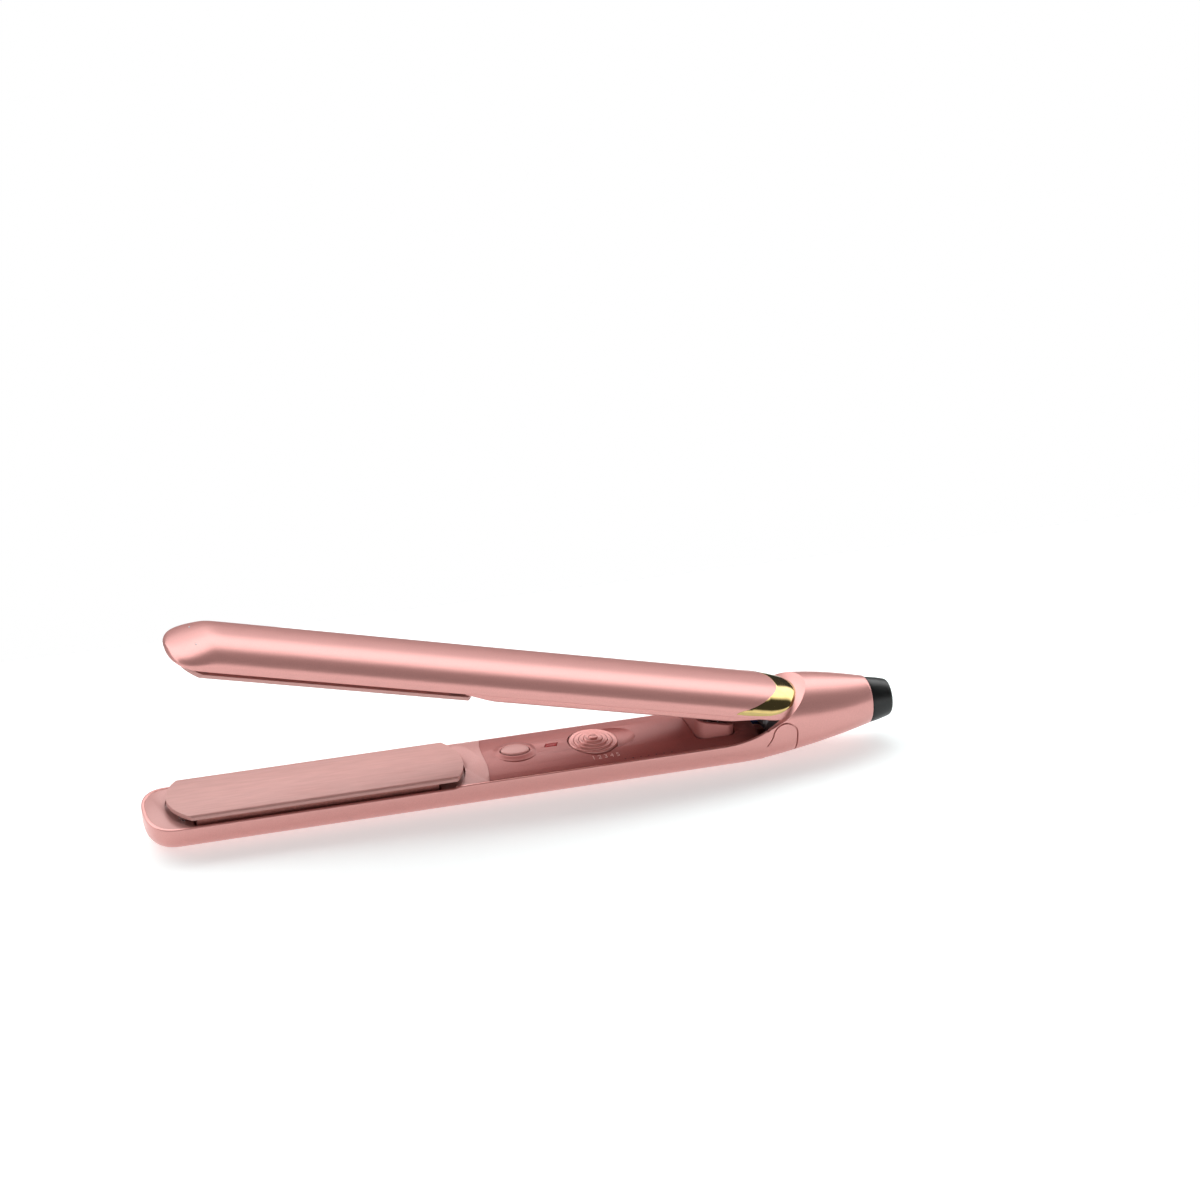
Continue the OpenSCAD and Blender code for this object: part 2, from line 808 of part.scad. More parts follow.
module thermistor_shape() {
    translate([-46, 0, carrier_floor + heater_h / 2 + 0.1]) rotate([0, 90, 0])
        cylinder(r = 0.55, h = 3.5, center = true);
}

module fuse_shape() {
    translate([-116, 0, carrier_floor + heater_h / 2 + 0.1]) rotate([90, 0, 0])
        cylinder(r = 0.6, h = 9, center = true);
}

module lower_plate() { color(rose_ceramic) plate_shape(); }

module lower_plate_carrier() { color("#4a4440") carrier_shape(); }

module lower_heater() { color("#d9d2c5") heater_shape(); }

module lower_insulation() { color("#c9a25a") insulation_shape(); }

module lower_thermistor() { color("#7a2f22") thermistor_shape(); }

module lower_thermal_fuse() { color("#b9bdc1") fuse_shape(); }

module upper_plate() { color(rose_ceramic) opened() flipped() plate_shape(); }

module upper_plate_carrier() { color("#4a4440") opened() flipped() carrier_shape(); }

module upper_heater() { color("#d9d2c5") opened() flipped() heater_shape(); }

module upper_insulation() { color("#c9a25a") opened() flipped() insulation_shape(); }

module upper_thermistor() { color("#7a2f22") opened() flipped() thermistor_shape(); }

module upper_thermal_fuse() { color("#b9bdc1") opened() flipped() fuse_shape(); }

// ---- controls ----

module power_button() {
    color(lacquer) translate([button_x, 0, 0]) {
        translate([0, 0, 12.2]) linear_extrude(button_top - 12.2) polygon(oval(button_size));
        translate([0, 0, 11.6]) linear_extrude(0.8) polygon(oval(button_size + [1.8, 1.8]));
        post(0, 0, 9.05 + button_travel + 0.05, 11.8, 1.5);
    }
}

// Profile of the dial: ridged rings that step up to the middle
module temperature_dial() {
    ridges = 4;
    pitch = dial_r / (ridges + 0.6);
    rise = (dial_top_z - dial_edge_z) / ridges;
    color(lacquer) translate([dial_x, dial_y, 0]) {
        rotate_extrude() polygon(concat(
            [[0, 12.7], [dial_r, 12.7], [dial_r, dial_edge_z]],
            [for (i = [0 : ridges - 1])
                let (r = dial_r - i * pitch, z = dial_edge_z + i * rise)
                each [[r - 0.25, z + 0.25], [r - 1, z + 0.25], [r - 1.25, z - 0.05]]],
            [[0, dial_top_z - 0.4]]));
        post(0, 0, 8, 12.8, 2.5);
    }
}

lower_shell();
lower_plate_frame();
control_panel();
rear_collar();
hinge_pin();
hinge_cap_near();
hinge_cap_far();
spring_housing();
opening_spring();
main_board();
board_components();
button_switch();
dial_potentiometer();
indicator_lens();
indicator_led();
board_screws();
lower_frame_screws();
lower_float_springs();
lower_heater_leads();
mains_leads();
brush_holder();
slip_ring_brushes();
swivel_bush();
upper_shell();
upper_plate_frame();
upper_inner_cover();
hinge_bracket();
bracket_screws();
gold_trim();
upper_frame_screws();
upper_float_springs();
upper_heater_leads();
lower_plate();
lower_plate_carrier();
lower_heater();
lower_insulation();
lower_thermistor();
lower_thermal_fuse();
upper_plate();
upper_plate_carrier();
upper_heater();
upper_insulation();
upper_thermistor();
upper_thermal_fuse();
power_button();
temperature_dial();
cord_gland();
slip_rings();
retaining_clip();
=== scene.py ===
import json
import math

import bmesh
import bpy
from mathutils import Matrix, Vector


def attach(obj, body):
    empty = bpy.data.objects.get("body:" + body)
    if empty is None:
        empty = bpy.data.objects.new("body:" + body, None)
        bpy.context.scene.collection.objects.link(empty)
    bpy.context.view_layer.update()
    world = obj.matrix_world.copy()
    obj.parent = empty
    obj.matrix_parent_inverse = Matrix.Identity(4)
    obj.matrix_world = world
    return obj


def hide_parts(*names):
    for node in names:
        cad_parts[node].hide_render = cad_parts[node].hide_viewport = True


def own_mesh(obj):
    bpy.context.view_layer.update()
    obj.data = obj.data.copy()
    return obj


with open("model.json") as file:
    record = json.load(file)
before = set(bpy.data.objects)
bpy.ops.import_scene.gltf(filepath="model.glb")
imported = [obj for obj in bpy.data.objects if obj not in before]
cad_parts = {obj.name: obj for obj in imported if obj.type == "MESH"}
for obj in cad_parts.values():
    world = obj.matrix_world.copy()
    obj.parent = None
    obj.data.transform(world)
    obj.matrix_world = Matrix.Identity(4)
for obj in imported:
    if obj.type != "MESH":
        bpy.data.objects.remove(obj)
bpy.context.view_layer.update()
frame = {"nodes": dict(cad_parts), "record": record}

# Sizes in millimetres, in the CAD frame: +X to the cord, Y across, +Z up.
# Upper arm pieces are drawn closed and swung open about the hinge pin.
MM = 0.001
PIVOT_X, PIVOT_Z = 95.2, 13.3
OPEN_ANGLE = math.radians(13.75)
PARTING_Z = 15.0
RIM_Z = 11.3
UPPER_RIM_Z = 18.7
HALF_W = 16.5
SECTION_N = 2.5
WALL = 1.6
ROLL = 0.45
SEAM_X = 88.0
PANEL_TOP = 14.2
COLLAR_END = 133.5
GLAND_Z = 14.4
BUTTON_X = -5.1
DIAL_X, DIAL_Y = 24.9, -0.3
LENS_X, LENS_Y = 9.0, 0.8
PLATE_TOP = 14.85
PLATE_HALF = 14.5
# the plate's two ends: where each arc starts in the corners and how far it bulges
HANDLE_END, HANDLE_RISE = -30.4, 4.9
TIP_END, TIP_RISE = -127.0, 6.8
CARRIER_FOOT = 8.58
SPRING_WELL = (62.3, 78.2, 10.2)
FIGURES_X, FIGURES_Y, FIGURES_SIZE = 26.4, -12.6, 3.0
DOTS_X, DOTS_Y = (33, 36, 39, 42, 45, 48, 51), -14.6


# ---- small helpers ----

def bulge(c, n=SECTION_N):
    """One superellipse coordinate for a cosine or sine."""
    return math.copysign(abs(c) ** (2 / n), c)


def way(x, a, b):
    """Share of the way from a to b, held between 0 and 1."""
    return max(0.0, min(1.0, (x - a) / (b - a)))


def smooth_way(x, a, b):
    t = way(x, a, b)
    return t * t * (3 - 2 * t)


def curve_through(points):
    """A smooth function of x through the given points, level beyond its ends."""
    xs = [p[0] for p in points]
    ys = [p[1] for p in points]
    last = len(xs) - 1
    slopes = []
    for i in range(last + 1):
        a, b = max(0, i - 1), min(last, i + 1)
        slopes.append((ys[b] - ys[a]) / (xs[b] - xs[a]))

    def value(x):
        if x <= xs[0]:
            return ys[0]
        if x >= xs[-1]:
            return ys[-1]
        i = max(k for k in range(last) if xs[k] <= x)
        h = xs[i + 1] - xs[i]
        t = (x - xs[i]) / h
        return ((2 * t ** 3 - 3 * t ** 2 + 1) * ys[i] + (t ** 3 - 2 * t ** 2 + t) * h * slopes[i]
                + (3 * t ** 2 - 2 * t ** 3) * ys[i + 1] + (t ** 3 - t ** 2) * h * slopes[i + 1])
    return value


def opened(point):
    """A point of the closed upper arm, swung to the rest pose."""
    x, y, z = point
    dx, dz = x - PIVOT_X, z - PIVOT_Z
    c, s = math.cos(OPEN_ANGLE), math.sin(OPEN_ANGLE)
    return (PIVOT_X + dx * c + dz * s, y, PIVOT_Z - dx * s + dz * c)


def flipped(point):
    """A point of the lower half, mirrored about the parting plane."""
    return (point[0], point[1], 2 * PARTING_Z - point[2])


def build(name, points, faces, move=None):
    """A mesh object from points in millimetres, welded, with its faces turned outwards."""
    if move:
        points = [move(p) for p in points]
    mesh = bpy.data.meshes.new(name)
    mesh.from_pydata([(p[0] * MM, p[1] * MM, p[2] * MM) for p in points], [], faces)
    bm = bmesh.new()
    bm.from_mesh(mesh)
    bmesh.ops.remove_doubles(bm, verts=bm.verts, dist=2e-6)
    bmesh.ops.dissolve_degenerate(bm, edges=bm.edges, dist=1e-6)
    bmesh.ops.recalc_face_normals(bm, faces=bm.faces)
    bm.to_mesh(mesh)
    bm.free()
    piece = bpy.data.objects.new(name, mesh)
    bpy.context.scene.collection.objects.link(piece)
    return piece


def place(piece, move):
    """Moves every vertex of a finished piece."""
    for v in piece.data.vertices:
        x, y, z = move((v.co.x / MM, v.co.y / MM, v.co.z / MM))
        v.co = Vector((x * MM, y * MM, z * MM))


def loft(name, rings, move=None, caps=True):
    """A closed solid through equal rings of points."""
    count = len(rings[0])
    faces = []
    for j in range(len(rings) - 1):
        for i in range(count):
            k = (i + 1) % count
            faces.append((j * count + i, j * count + k, (j + 1) * count + k, (j + 1) * count + i))
    if caps:
        faces.append(tuple(reversed(range(count))))
        faces.append(tuple(range((len(rings) - 1) * count, len(rings) * count)))
    return build(name, [p for ring in rings for p in ring], faces, move)


def prism(name, outline, z0, z1):
    """A plan outline, raised from z0 to z1."""
    return loft(name, [[(x, y, z) for x, y in outline] for z in (z0, z1)])


def side_prism(name, outline, y0=-30.0, y1=30.0):
    """An outline in side view (x, z), carried across from y0 to y1."""
    return loft(name, [[(x, y, z) for x, z in outline] for y in (y0, y1)])


def bar(name, outline, x0, x1):
    """An outline in end view (y, z), carried along from x0 to x1."""
    return loft(name, [[(x, y, z) for y, z in outline] for x in (x0, x1)])


def turned(name, profile, centre, axis="Z", sides=96):
    """A profile of (radius, height) turned about an upright or lengthwise axis."""
    rings = []
    for k in range(sides):
        a = 2 * math.pi * k / sides
        ring = []
        for r, h in profile:
            if axis == "Z":
                ring.append((centre[0] + r * math.cos(a), centre[1] + r * math.sin(a), h))
            else:
                ring.append((h, centre[0] + r * math.cos(a), centre[1] + r * math.sin(a)))
        rings.append(ring)
    rings.append(rings[0])
    return loft(name, rings, caps=False)


def bake(piece):
    """Applies the modifiers of a piece."""
    graph = bpy.context.evaluated_depsgraph_get()
    mesh = bpy.data.meshes.new_from_object(piece.evaluated_get(graph))
    piece.modifiers.clear()
    old = piece.data
    piece.data = mesh
    mesh.name = piece.name
    bpy.data.meshes.remove(old)


def carve(piece, tool, operation="DIFFERENCE"):
    """Cuts, joins or meets a piece with a tool solid, which is used up."""
    mod = piece.modifiers.new("carve", "BOOLEAN")
    mod.operation = operation
    mod.solver = "EXACT"
    mod.object = tool
    bpy.context.view_layer.update()
    bake(piece)
    bpy.data.objects.remove(tool)
    bm = bmesh.new()
    bm.from_mesh(piece.data)
    bmesh.ops.remove_doubles(bm, verts=bm.verts, dist=3e-6)
    bmesh.ops.dissolve_degenerate(bm, edges=bm.edges, dist=2e-6)
    bm.to_mesh(piece.data)
    bm.free()


def round_edges(piece, width, angle=30.0, segments=2, where=None):
    """Rounds the sharp edges of a piece, or those whose middle passes a test."""
    bm = bmesh.new()
    bm.from_mesh(piece.data)
    chosen = []
    for e in bm.edges:
        if len(e.link_faces) == 2 and e.calc_face_angle() > math.radians(angle):
            middle = (e.verts[0].co + e.verts[1].co) / (2 * MM)
            if where is None or where(middle.x, middle.y, middle.z):
                chosen.append(e)
    bmesh.ops.bevel(bm, geom=chosen, offset=width * MM, offset_type="OFFSET", segments=segments,
                    profile=0.5, affect="EDGES", clamp_overlap=True)
    bmesh.ops.dissolve_degenerate(bm, edges=bm.edges, dist=1e-6)
    bm.to_mesh(piece.data)
    bm.free()


def shade(piece, angle=32.0):
    """Smooth shading that keeps edges sharper than the angle."""
    piece.data.polygons.foreach_set("use_smooth", [True] * len(piece.data.polygons))
    piece.data.set_sharp_from_angle(angle=math.radians(angle))


REPLACED = set()


def finish_piece(piece, body, material, replaces=(), angle=32.0):
    """Shades a piece, gives it its material, ties it to its body and notes what it replaces."""
    shade(piece, angle)
    piece.data.materials.clear()
    piece.data.materials.append(material)
    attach(piece, body)
    for node in replaces:
        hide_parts(node)
        REPLACED.add(node)


# ---- materials ----

NOISE_LOW, NOISE_HIGH = 0.3, 0.7


class Nodes:
    """Adds shader nodes to a new material and links them."""

    def __init__(self, name):
        self.material = bpy.data.materials.new(name)
        self.material.use_nodes = True
        self.tree = self.material.node_tree
        self.shader = self.tree.nodes["Principled BSDF"]
        self.coords = self.tree.nodes.new("ShaderNodeTexCoord").outputs["Object"]

    def link(self, a, b):
        self.tree.links.new(a, b)

    def noise(self, scale, detail=2.0, stretch=None):
        node = self.tree.nodes.new("ShaderNodeTexNoise")
        node.inputs["Scale"].default_value = scale
        node.inputs["Detail"].default_value = detail
        source = self.coords
        if stretch:
            mapping = self.tree.nodes.new("ShaderNodeMapping")
            mapping.inputs["Scale"].default_value = stretch
            self.link(self.coords, mapping.inputs["Vector"])
            source = mapping.outputs["Vector"]
        self.link(source, node.inputs["Vector"])
        return node.outputs["Fac"]

    def spread(self, value, low, high):
        """Maps the middle of a noise's range onto low to high."""
        node = self.tree.nodes.new("ShaderNodeMapRange")
        node.inputs["From Min"].default_value = NOISE_LOW
        node.inputs["From Max"].default_value = NOISE_HIGH
        node.inputs["To Min"].default_value = low
        node.inputs["To Max"].default_value = high
        self.link(value, node.inputs["Value"])
        return node.outputs["Result"]

    def blend(self, factor, first, second):
        node = self.tree.nodes.new("ShaderNodeMix")
        node.data_type = "RGBA"
        self.link(factor, node.inputs["Factor"])
        for socket, value in (("A", first), ("B", second)):
            target = [s for s in node.inputs if s.name == socket and s.type == "RGBA"][0]
            if isinstance(value, tuple):
                target.default_value = (*value, 1.0)
            else:
                self.link(value, target)
        return [s for s in node.outputs if s.type == "RGBA"][0]

    def bump(self, height, strength, distance):
        node = self.tree.nodes.new("ShaderNodeBump")
        node.inputs["Strength"].default_value = strength
        node.inputs["Distance"].default_value = distance
        self.link(height, node.inputs["Height"])
        self.link(node.outputs["Normal"], self.shader.inputs["Normal"])

    def set(self, **values):
        for key, value in values.items():
            self.shader.inputs[key.replace("_", " ")].default_value = value


def scaled(color, k):
    """A colour made lighter or darker by a factor."""
    return tuple(min(1.0, c * k) for c in color)


def lacquer(name, color, metallic=0.38, rough=0.305, flake=0.04, coat=0.05, pearl=0.02):
    """Pearl lacquer: fine flakes in the colour, a soft cloudiness, a thin clear coat."""
    n = Nodes(name)
    flakes = n.spread(n.noise(2600.0, 1.0), 0.0, 1.0)
    flaked = n.blend(flakes, scaled(color, 1 - flake), scaled(color, 1 + flake))
    clouds = n.spread(n.noise(70.0, 3.0), 0.0, pearl * 4)
    n.link(n.blend(clouds, flaked, scaled(color, 0.86)), n.shader.inputs["Base Color"])
    n.link(n.spread(n.noise(420.0, 2.0), rough - 0.012, rough + 0.018),
           n.shader.inputs["Roughness"])
    n.bump(n.noise(3200.0, 1.0), 0.03, 0.00005)
    n.set(Metallic=metallic, Coat_Weight=coat, Coat_Roughness=0.14, Coat_IOR=1.5)
    return n.material


def ceramic(name, color, rough=0.46):
    """Satin ceramic coating with a fine lengthwise grain."""
    n = Nodes(name)
    grain = n.noise(900.0, 3.0, stretch=(0.12, 1.0, 1.0))
    n.link(n.blend(n.spread(grain, 0.0, 1.0), scaled(color, 0.94), scaled(color, 1.05)),
           n.shader.inputs["Base Color"])
    n.link(n.spread(n.noise(300.0, 2.0, stretch=(0.2, 1.0, 1.0)), rough - 0.03, rough + 0.04),
           n.shader.inputs["Roughness"])
    n.bump(grain, 0.03, 0.00004)
    n.set(Metallic=0.15)
    return n.material


def plain_metal(name, color, rough, scale=500.0, strength=0.08):
    """Bare or plated metal with a slight grain."""
    n = Nodes(name)
    grain = n.noise(scale, 3.0)
    n.link(n.blend(n.spread(grain, 0.0, 1.0), scaled(color, 0.9), scaled(color, 1.06)),
           n.shader.inputs["Base Color"])
    n.link(n.spread(grain, rough * 0.85, rough * 1.2), n.shader.inputs["Roughness"])
    n.bump(grain, strength, 0.00005)
    n.set(Metallic=1.0)
    return n.material


def plastic(name, color, rough, scale=1500.0, strength=0.15, **extra):
    """Moulded plastic with a fine grain."""
    n = Nodes(name)
    grain = n.noise(scale, 3.0)
    n.link(n.blend(n.spread(grain, 0.0, 1.0), scaled(color, 0.88), scaled(color, 1.12)),
           n.shader.inputs["Base Color"])
    n.link(n.spread(n.noise(scale * 0.2, 2.0), rough * 0.9, min(1.0, rough * 1.12)),
           n.shader.inputs["Roughness"])
    n.bump(grain, strength, 0.00006)
    n.set(Metallic=0.0, **extra)
    return n.material


ROSE = (0.70, 0.325, 0.30)
MATERIALS = {
    "rose_lacquer": lacquer("rose_lacquer", ROSE),
    # inner_rose: a somewhat deeper rose than the arms' lacquer, darkened further as painted shade
    # from the upper arm over the handle's inner face
    "inner_rose": lacquer("inner_rose", (0.36, 0.115, 0.103), 0.3, 0.42, 0.05, 0.04),
    "rose_ceramic": ceramic("rose_ceramic", (0.53, 0.275, 0.25)),
    "gold": plain_metal("gold", (0.46, 0.345, 0.14), 0.09, 300.0, strength=0.01),
    "soft_black": plastic("soft_black", (0.006, 0.0065, 0.0065), 0.36, 2400.0, 0.1,
                          Specular_IOR_Level=0.35),
    "steel": plain_metal("steel", (0.62, 0.62, 0.63), 0.28, 700.0),
    "spring_steel": plain_metal("spring_steel", (0.5, 0.5, 0.52), 0.24, 900.0),
    "frame_plastic": plastic("frame_plastic", (0.3, 0.17, 0.16), 0.5),
    "carrier_plastic": plastic("carrier_plastic", (0.55, 0.22, 0.19), 0.6, 1200.0, 0.25),
    "heater_ceramic": plastic("heater_ceramic", (0.75, 0.7, 0.62), 0.7, 1800.0, 0.3),
    "film": plastic("film", (0.62, 0.36, 0.1), 0.2, 300.0, 0.05),
    "board": plastic("board", (0.03, 0.16, 0.07), 0.35, 350.0, 0.1),
    "black_plastic": plastic("black_plastic", (0.03, 0.03, 0.035), 0.5),
    "pot_plastic": plastic("pot_plastic", (0.04, 0.07, 0.14), 0.5),
    "red_lens": plastic("red_lens", (0.32, 0.005, 0.006), 0.35, 600.0, 0.03,
                        Specular_IOR_Level=0.2),
    "led_epoxy": plastic("led_epoxy", (0.65, 0.58, 0.55), 0.15, 500.0, 0.03),
    "wire_red": plastic("wire_red", (0.45, 0.03, 0.02), 0.45),
    "wire_blue": plastic("wire_blue", (0.03, 0.1, 0.35), 0.45),
    "contact_brass": plain_metal("contact_brass", (0.72, 0.55, 0.25), 0.25, 800.0),
    "bush_plastic": plastic("bush_plastic", (0.6, 0.58, 0.55), 0.4),
    "sensor_glass": plastic("sensor_glass", (0.28, 0.08, 0.04), 0.15, 500.0, 0.02),
    "bracket_metal": plain_metal("bracket_metal", (0.45, 0.46, 0.47), 0.5, 500.0, strength=0.25),
}
# the dial's lacquer: the arms' rose darkened as painted shade, to match the shaded panel under the
# upper arm
shaded_dial_rose = lacquer("shaded_dial_rose", (0.50, 0.205, 0.185), 0.42, 0.3)
satin_rose = lacquer("satin_rose", (0.52, 0.255, 0.235), 0.2, 0.42)
mark_material = plastic("mark_ink", (0.72, 0.46, 0.42), 0.4, 1200.0, 0.05)
dot_material = plastic("dot_ink", (0.09, 0.03, 0.028), 0.5, 1200.0, 0.05)

# ---- arm shells ----

ARC_STEPS = 56
LOWER_LOW = curve_through([(80, 0), (88, 0.35), (96, 1.2), (104, 2.35), (112, 3.3), (122, 4.4),
                           (133.5, 5.5)])
# the lower rim steps up behind the plate and climbs into the lip of the collar's mouth
LIP = curve_through([(-32.3, 11.3), (-29.2, 11.95), (-20, 12.0), (70, 12.0), (74, 12.15),
                     (78, 12.6), (82, 13.5), (85, 14.5), (89, 16.5), (93.6, 19.2), (98.4, 22.7),
                     (102, 25.4), (105.6, 27.7)])


def shell_ring(x0, length, c, s, height, rim, side, skirt=0.0, inner_shift=0.0):
    """One ring of a thin arm shell: its back, rolled rim and inner face.

    c and s place the ring along the rounded nose; side is -1 below the rim and 1 above it;
    skirt is the upright part of the side under the rim."""
    def point(inset, across, depth, shift=0.0):
        return (x0 - (length - inset) * s + shift, (HALF_W - inset) * c * across,
                rim + side * depth)
    keel = 0.25 if side < 0 else 0.0
    ring = []
    for i in range(ARC_STEPS + 1):
        a = math.pi * i / ARC_STEPS
        top = ROLL + skirt
        reach = min(height, top + (height + keel - top) * bulge(math.sin(a)))
        ring.append(point(0.0, bulge(math.cos(a)), reach))
        if i == ARC_STEPS and skirt > 0:
            ring[-1] = point(0.0, -1.0, top)
    for k in range(0, 5):
        a = math.pi / 2 * k / 4
        ring.append(point(ROLL * (1 - math.cos(a)), -1.0, ROLL * (1 - math.sin(a))))
    ring.append(point(1.1, -1.0, 0.0, inner_shift))
    steps = ARC_STEPS // 2
    for i in range(steps + 1):
        a = math.pi * (1 - i / steps)
        depth = 0.4 + (height - WALL - 0.4) * bulge(math.sin(a))
        ring.append(point(WALL, bulge(math.cos(a)), depth, inner_shift))
    ring.append(point(1.1, 1.0, 0.0, inner_shift))
    for k in range(4, -1, -1):
        a = math.pi / 2 * k / 4
        ring.append(point(ROLL * (1 - math.cos(a)), 1.0, ROLL * (1 - math.sin(a))))
    return ring


def nose_angles(steps=16):
    """Angles round a nose from its tip to the straight sides, closer at the tip."""
    return [math.pi / 2 * (1 - (i / steps) ** 1.15) for i in range(steps + 1)]


# lower arm
LOWER_NOSE_X, LOWER_NOSE_L = -131.0, 11.5
UPPER_NOSE_X, UPPER_NOSE_L = -127.0, 11.6
rings = []
for a in nose_angles():
    c, s = bulge(math.cos(a)), bulge(math.sin(a))
    rings.append(shell_ring(LOWER_NOSE_X, LOWER_NOSE_L, c, s, 2.6 + (RIM_Z - 2.6) * c ** 0.9,
                            RIM_Z, -1))
for x in (list(range(-125, -34, 15)) + [-33, -32.3, -31.5, -30.7, -30, -29.4, -28.5, -24]
          + list(range(-15, 66, 16)) + [66, 69, 71, 73, 75, 77, 79, 81, 83, 85, 86.5, SEAM_X]):
    rim = LIP(x)
    rings.append(shell_ring(float(x), 0.0, 1.0, 0.0, rim - LOWER_LOW(x), rim, -1,
                            max(0.0, rim - RIM_Z)))
lower_arm = loft("lower_arm_skin", rings)
finish_piece(lower_arm, "base", MATERIALS["rose_lacquer"], ["lower_shell"])

# upper arm
UPPER_HEIGHT = curve_through([(-127, 9.1), (-60, 8.95), (-10, 8.85), (40, 8.95), (88, 9.1)])


def nose_height(x):
    """Height of the upper arm: a sloping facet at its tip that meets the back in a soft crease."""
    slope = 2.3 + (x + UPPER_NOSE_L - UPPER_NOSE_X) * 0.47
    full = UPPER_HEIGHT(x)
    k = 0.5
    return -k * math.log(math.exp(-slope / k) + math.exp(-full / k))


def rear_w(x):
    """Share of the full width left where the upper arm rounds off at its rear."""
    return math.sqrt(1 - way(x, 86, 103.2) ** 2)


def rear_h(x):
    """Share of the full height left there."""
    return (1 - way(x, 93, 103.9) ** 4) ** 0.25


def upper_rings():
    """Ring values of the upper arm: nose, length, c, s, height and shift of the inner face."""
    rows = []
    for a in nose_angles(20):
        c, s = bulge(math.cos(a)), bulge(math.sin(a))
        x = UPPER_NOSE_X - UPPER_NOSE_L * s
        rows.append((UPPER_NOSE_X, UPPER_NOSE_L, c, s, nose_height(x), 0.0))
    for x in [-126, -125, -124, -122, -120, -115, -110] + list(range(-100, 81, 10)) + [84]:
        rows.append((float(x), 0.0, 1.0, 0.0, nose_height(x), 0.0))
    for i in range(1, 25):
        x = 86 + 17.2 * math.sin(math.pi / 2 * i / 24)
        rows.append((x, 0.0, rear_w(x), 0.0, UPPER_HEIGHT(x) * rear_h(x),
                     -WALL * way(x, 91, 103.2)))
    return rows


upper_arm = loft("upper_arm_skin",
                 [shell_ring(x0, l, c, s, h, UPPER_RIM_Z, 1, inner_shift=shift)
                  for x0, l, c, s, h, shift in upper_rings()], opened)
finish_piece(upper_arm, "upper_arm", MATERIALS["rose_lacquer"], ["upper_shell"])


def upper_solid(name, grow):
    """The upper arm's outer form as a plain solid, grown or shrunk by a little."""
    rows = []
    for x0, l, c, s, h, shift in upper_rings():
        if x0 < 60:
            continue
        ring = []
        for i in range(ARC_STEPS + 1):
            a = math.pi * i / ARC_STEPS
            w = max(0.0, (HALF_W + grow) * c)
            ring.append((x0 + grow * way(x0, 92, 103.2), w * bulge(math.cos(a)),
                         UPPER_RIM_Z + min(h + grow, ROLL + (h + grow - ROLL)
                                           * bulge(math.sin(a)))))
        ring.append((x0, -(HALF_W - 2) * c, UPPER_RIM_Z))
        ring.append((x0, (HALF_W - 2) * c, UPPER_RIM_Z))
        rows.append(ring)
    return loft(name, rows)


# gold crescent on the rear of the upper arm
gold = upper_solid("gold_crescent", 0.06)
carve(gold, upper_solid("tool", -0.3))
CRESCENT = curve_through([(0, 92.4), (3, 92.2), (6, 91.4), (9.5, 89.2), (13, 85.6), (15, 82.0),
                          (16.1, 77.8), (16.6, 72.6)])
front = [(CRESCENT(abs(y)), y) for y in [-16.6 + 33.2 * i / 64 for i in range(65)]]
behind = [(72, 20), (110, 20), (110, -20), (72, -20)]
carve(gold, prism("tool", front + behind, 0, 60), "INTERSECT")
carve(gold, side_prism("tool", [(60, 20.0), (78, 20.0), (83, 20.2), (87, 20.7), (91, 21.6),
                                (95, 23.0), (110, 27.0), (110, 50), (60, 50)]), "INTERSECT")
round_edges(gold, 0.12, 50, 2)
place(gold, opened)
finish_piece(gold, "upper_arm", MATERIALS["gold"], ["gold_trim"], 25)

# ---- plates and frames ----


def end_arc(x, half, rise, sign, steps=40):
    """An arc that bulges by rise beyond x, between y = -half and y = half."""
    r = (half * half + rise * rise) / (2 * rise)
    a0 = math.asin(half / r)
    return [(x + sign * (r * math.cos(t) - r + rise), r * math.sin(t))
            for t in [-a0 + 2 * a0 * i / steps for i in range(steps + 1)]]


def plate_outline(grow=0.0):
    right = end_arc(HANDLE_END + grow, PLATE_HALF + grow, HANDLE_RISE, 1)
    left = end_arc(TIP_END - grow, PLATE_HALF + grow, TIP_RISE, -1)
    return right + [(x, -y) for x, y in left]


def arm_plan(nose_x, nose_l, inset, x1, steps=24):
    """Plan outline of an arm's nose, carried back to x1."""
    w, l = HALF_W - inset, nose_l - inset
    pts = [(x1, -w), (x1, w)]
    for i in range(2 * steps + 1):
        t = math.pi / 2 * (1 - i / steps)
        pts.append((nose_x - l * bulge(math.cos(t)), w * bulge(math.sin(t))))
    return pts


def make_plate(name, move):
    """A heating plate: a flat with rounded long edges, cut to the plate's outline."""
    edge = []
    radius = 1.2
    for k in range(9):
        a = math.pi / 2 * k / 8
        edge.append((PLATE_HALF - radius * (1 - math.cos(a)),
                     PLATE_TOP - radius * (1 - math.sin(a))))
    low = PLATE_TOP - 1.7
    top = PLATE_TOP - 1.65
    section = ([(PLATE_HALF, low)] + edge + [(-y, z) for y, z in reversed(edge)]
               + [(-PLATE_HALF, low), (0.9 - PLATE_HALF, low), (1.2 - PLATE_HALF, top),
                  (PLATE_HALF - 1.2, top), (PLATE_HALF - 0.9, low)])
    plate = bar(name, section, -140, -20)
    carve(plate, prism("tool", plate_outline(), 0, 40), "INTERSECT")
    round_edges(plate, 0.3, 50, 3)
    place(plate, move)
    return plate


lower_plate = make_plate("lower_plate_skin", lambda p: p)
finish_piece(lower_plate, "lower_plate_group", MATERIALS["rose_ceramic"],
             ["lower_plate"], 40)
upper_plate = make_plate("upper_plate_skin", lambda p: opened(flipped(p)))
upper_plate.data.flip_normals()
finish_piece(upper_plate, "upper_plate_group", MATERIALS["rose_ceramic"],
             ["upper_plate"], 40)


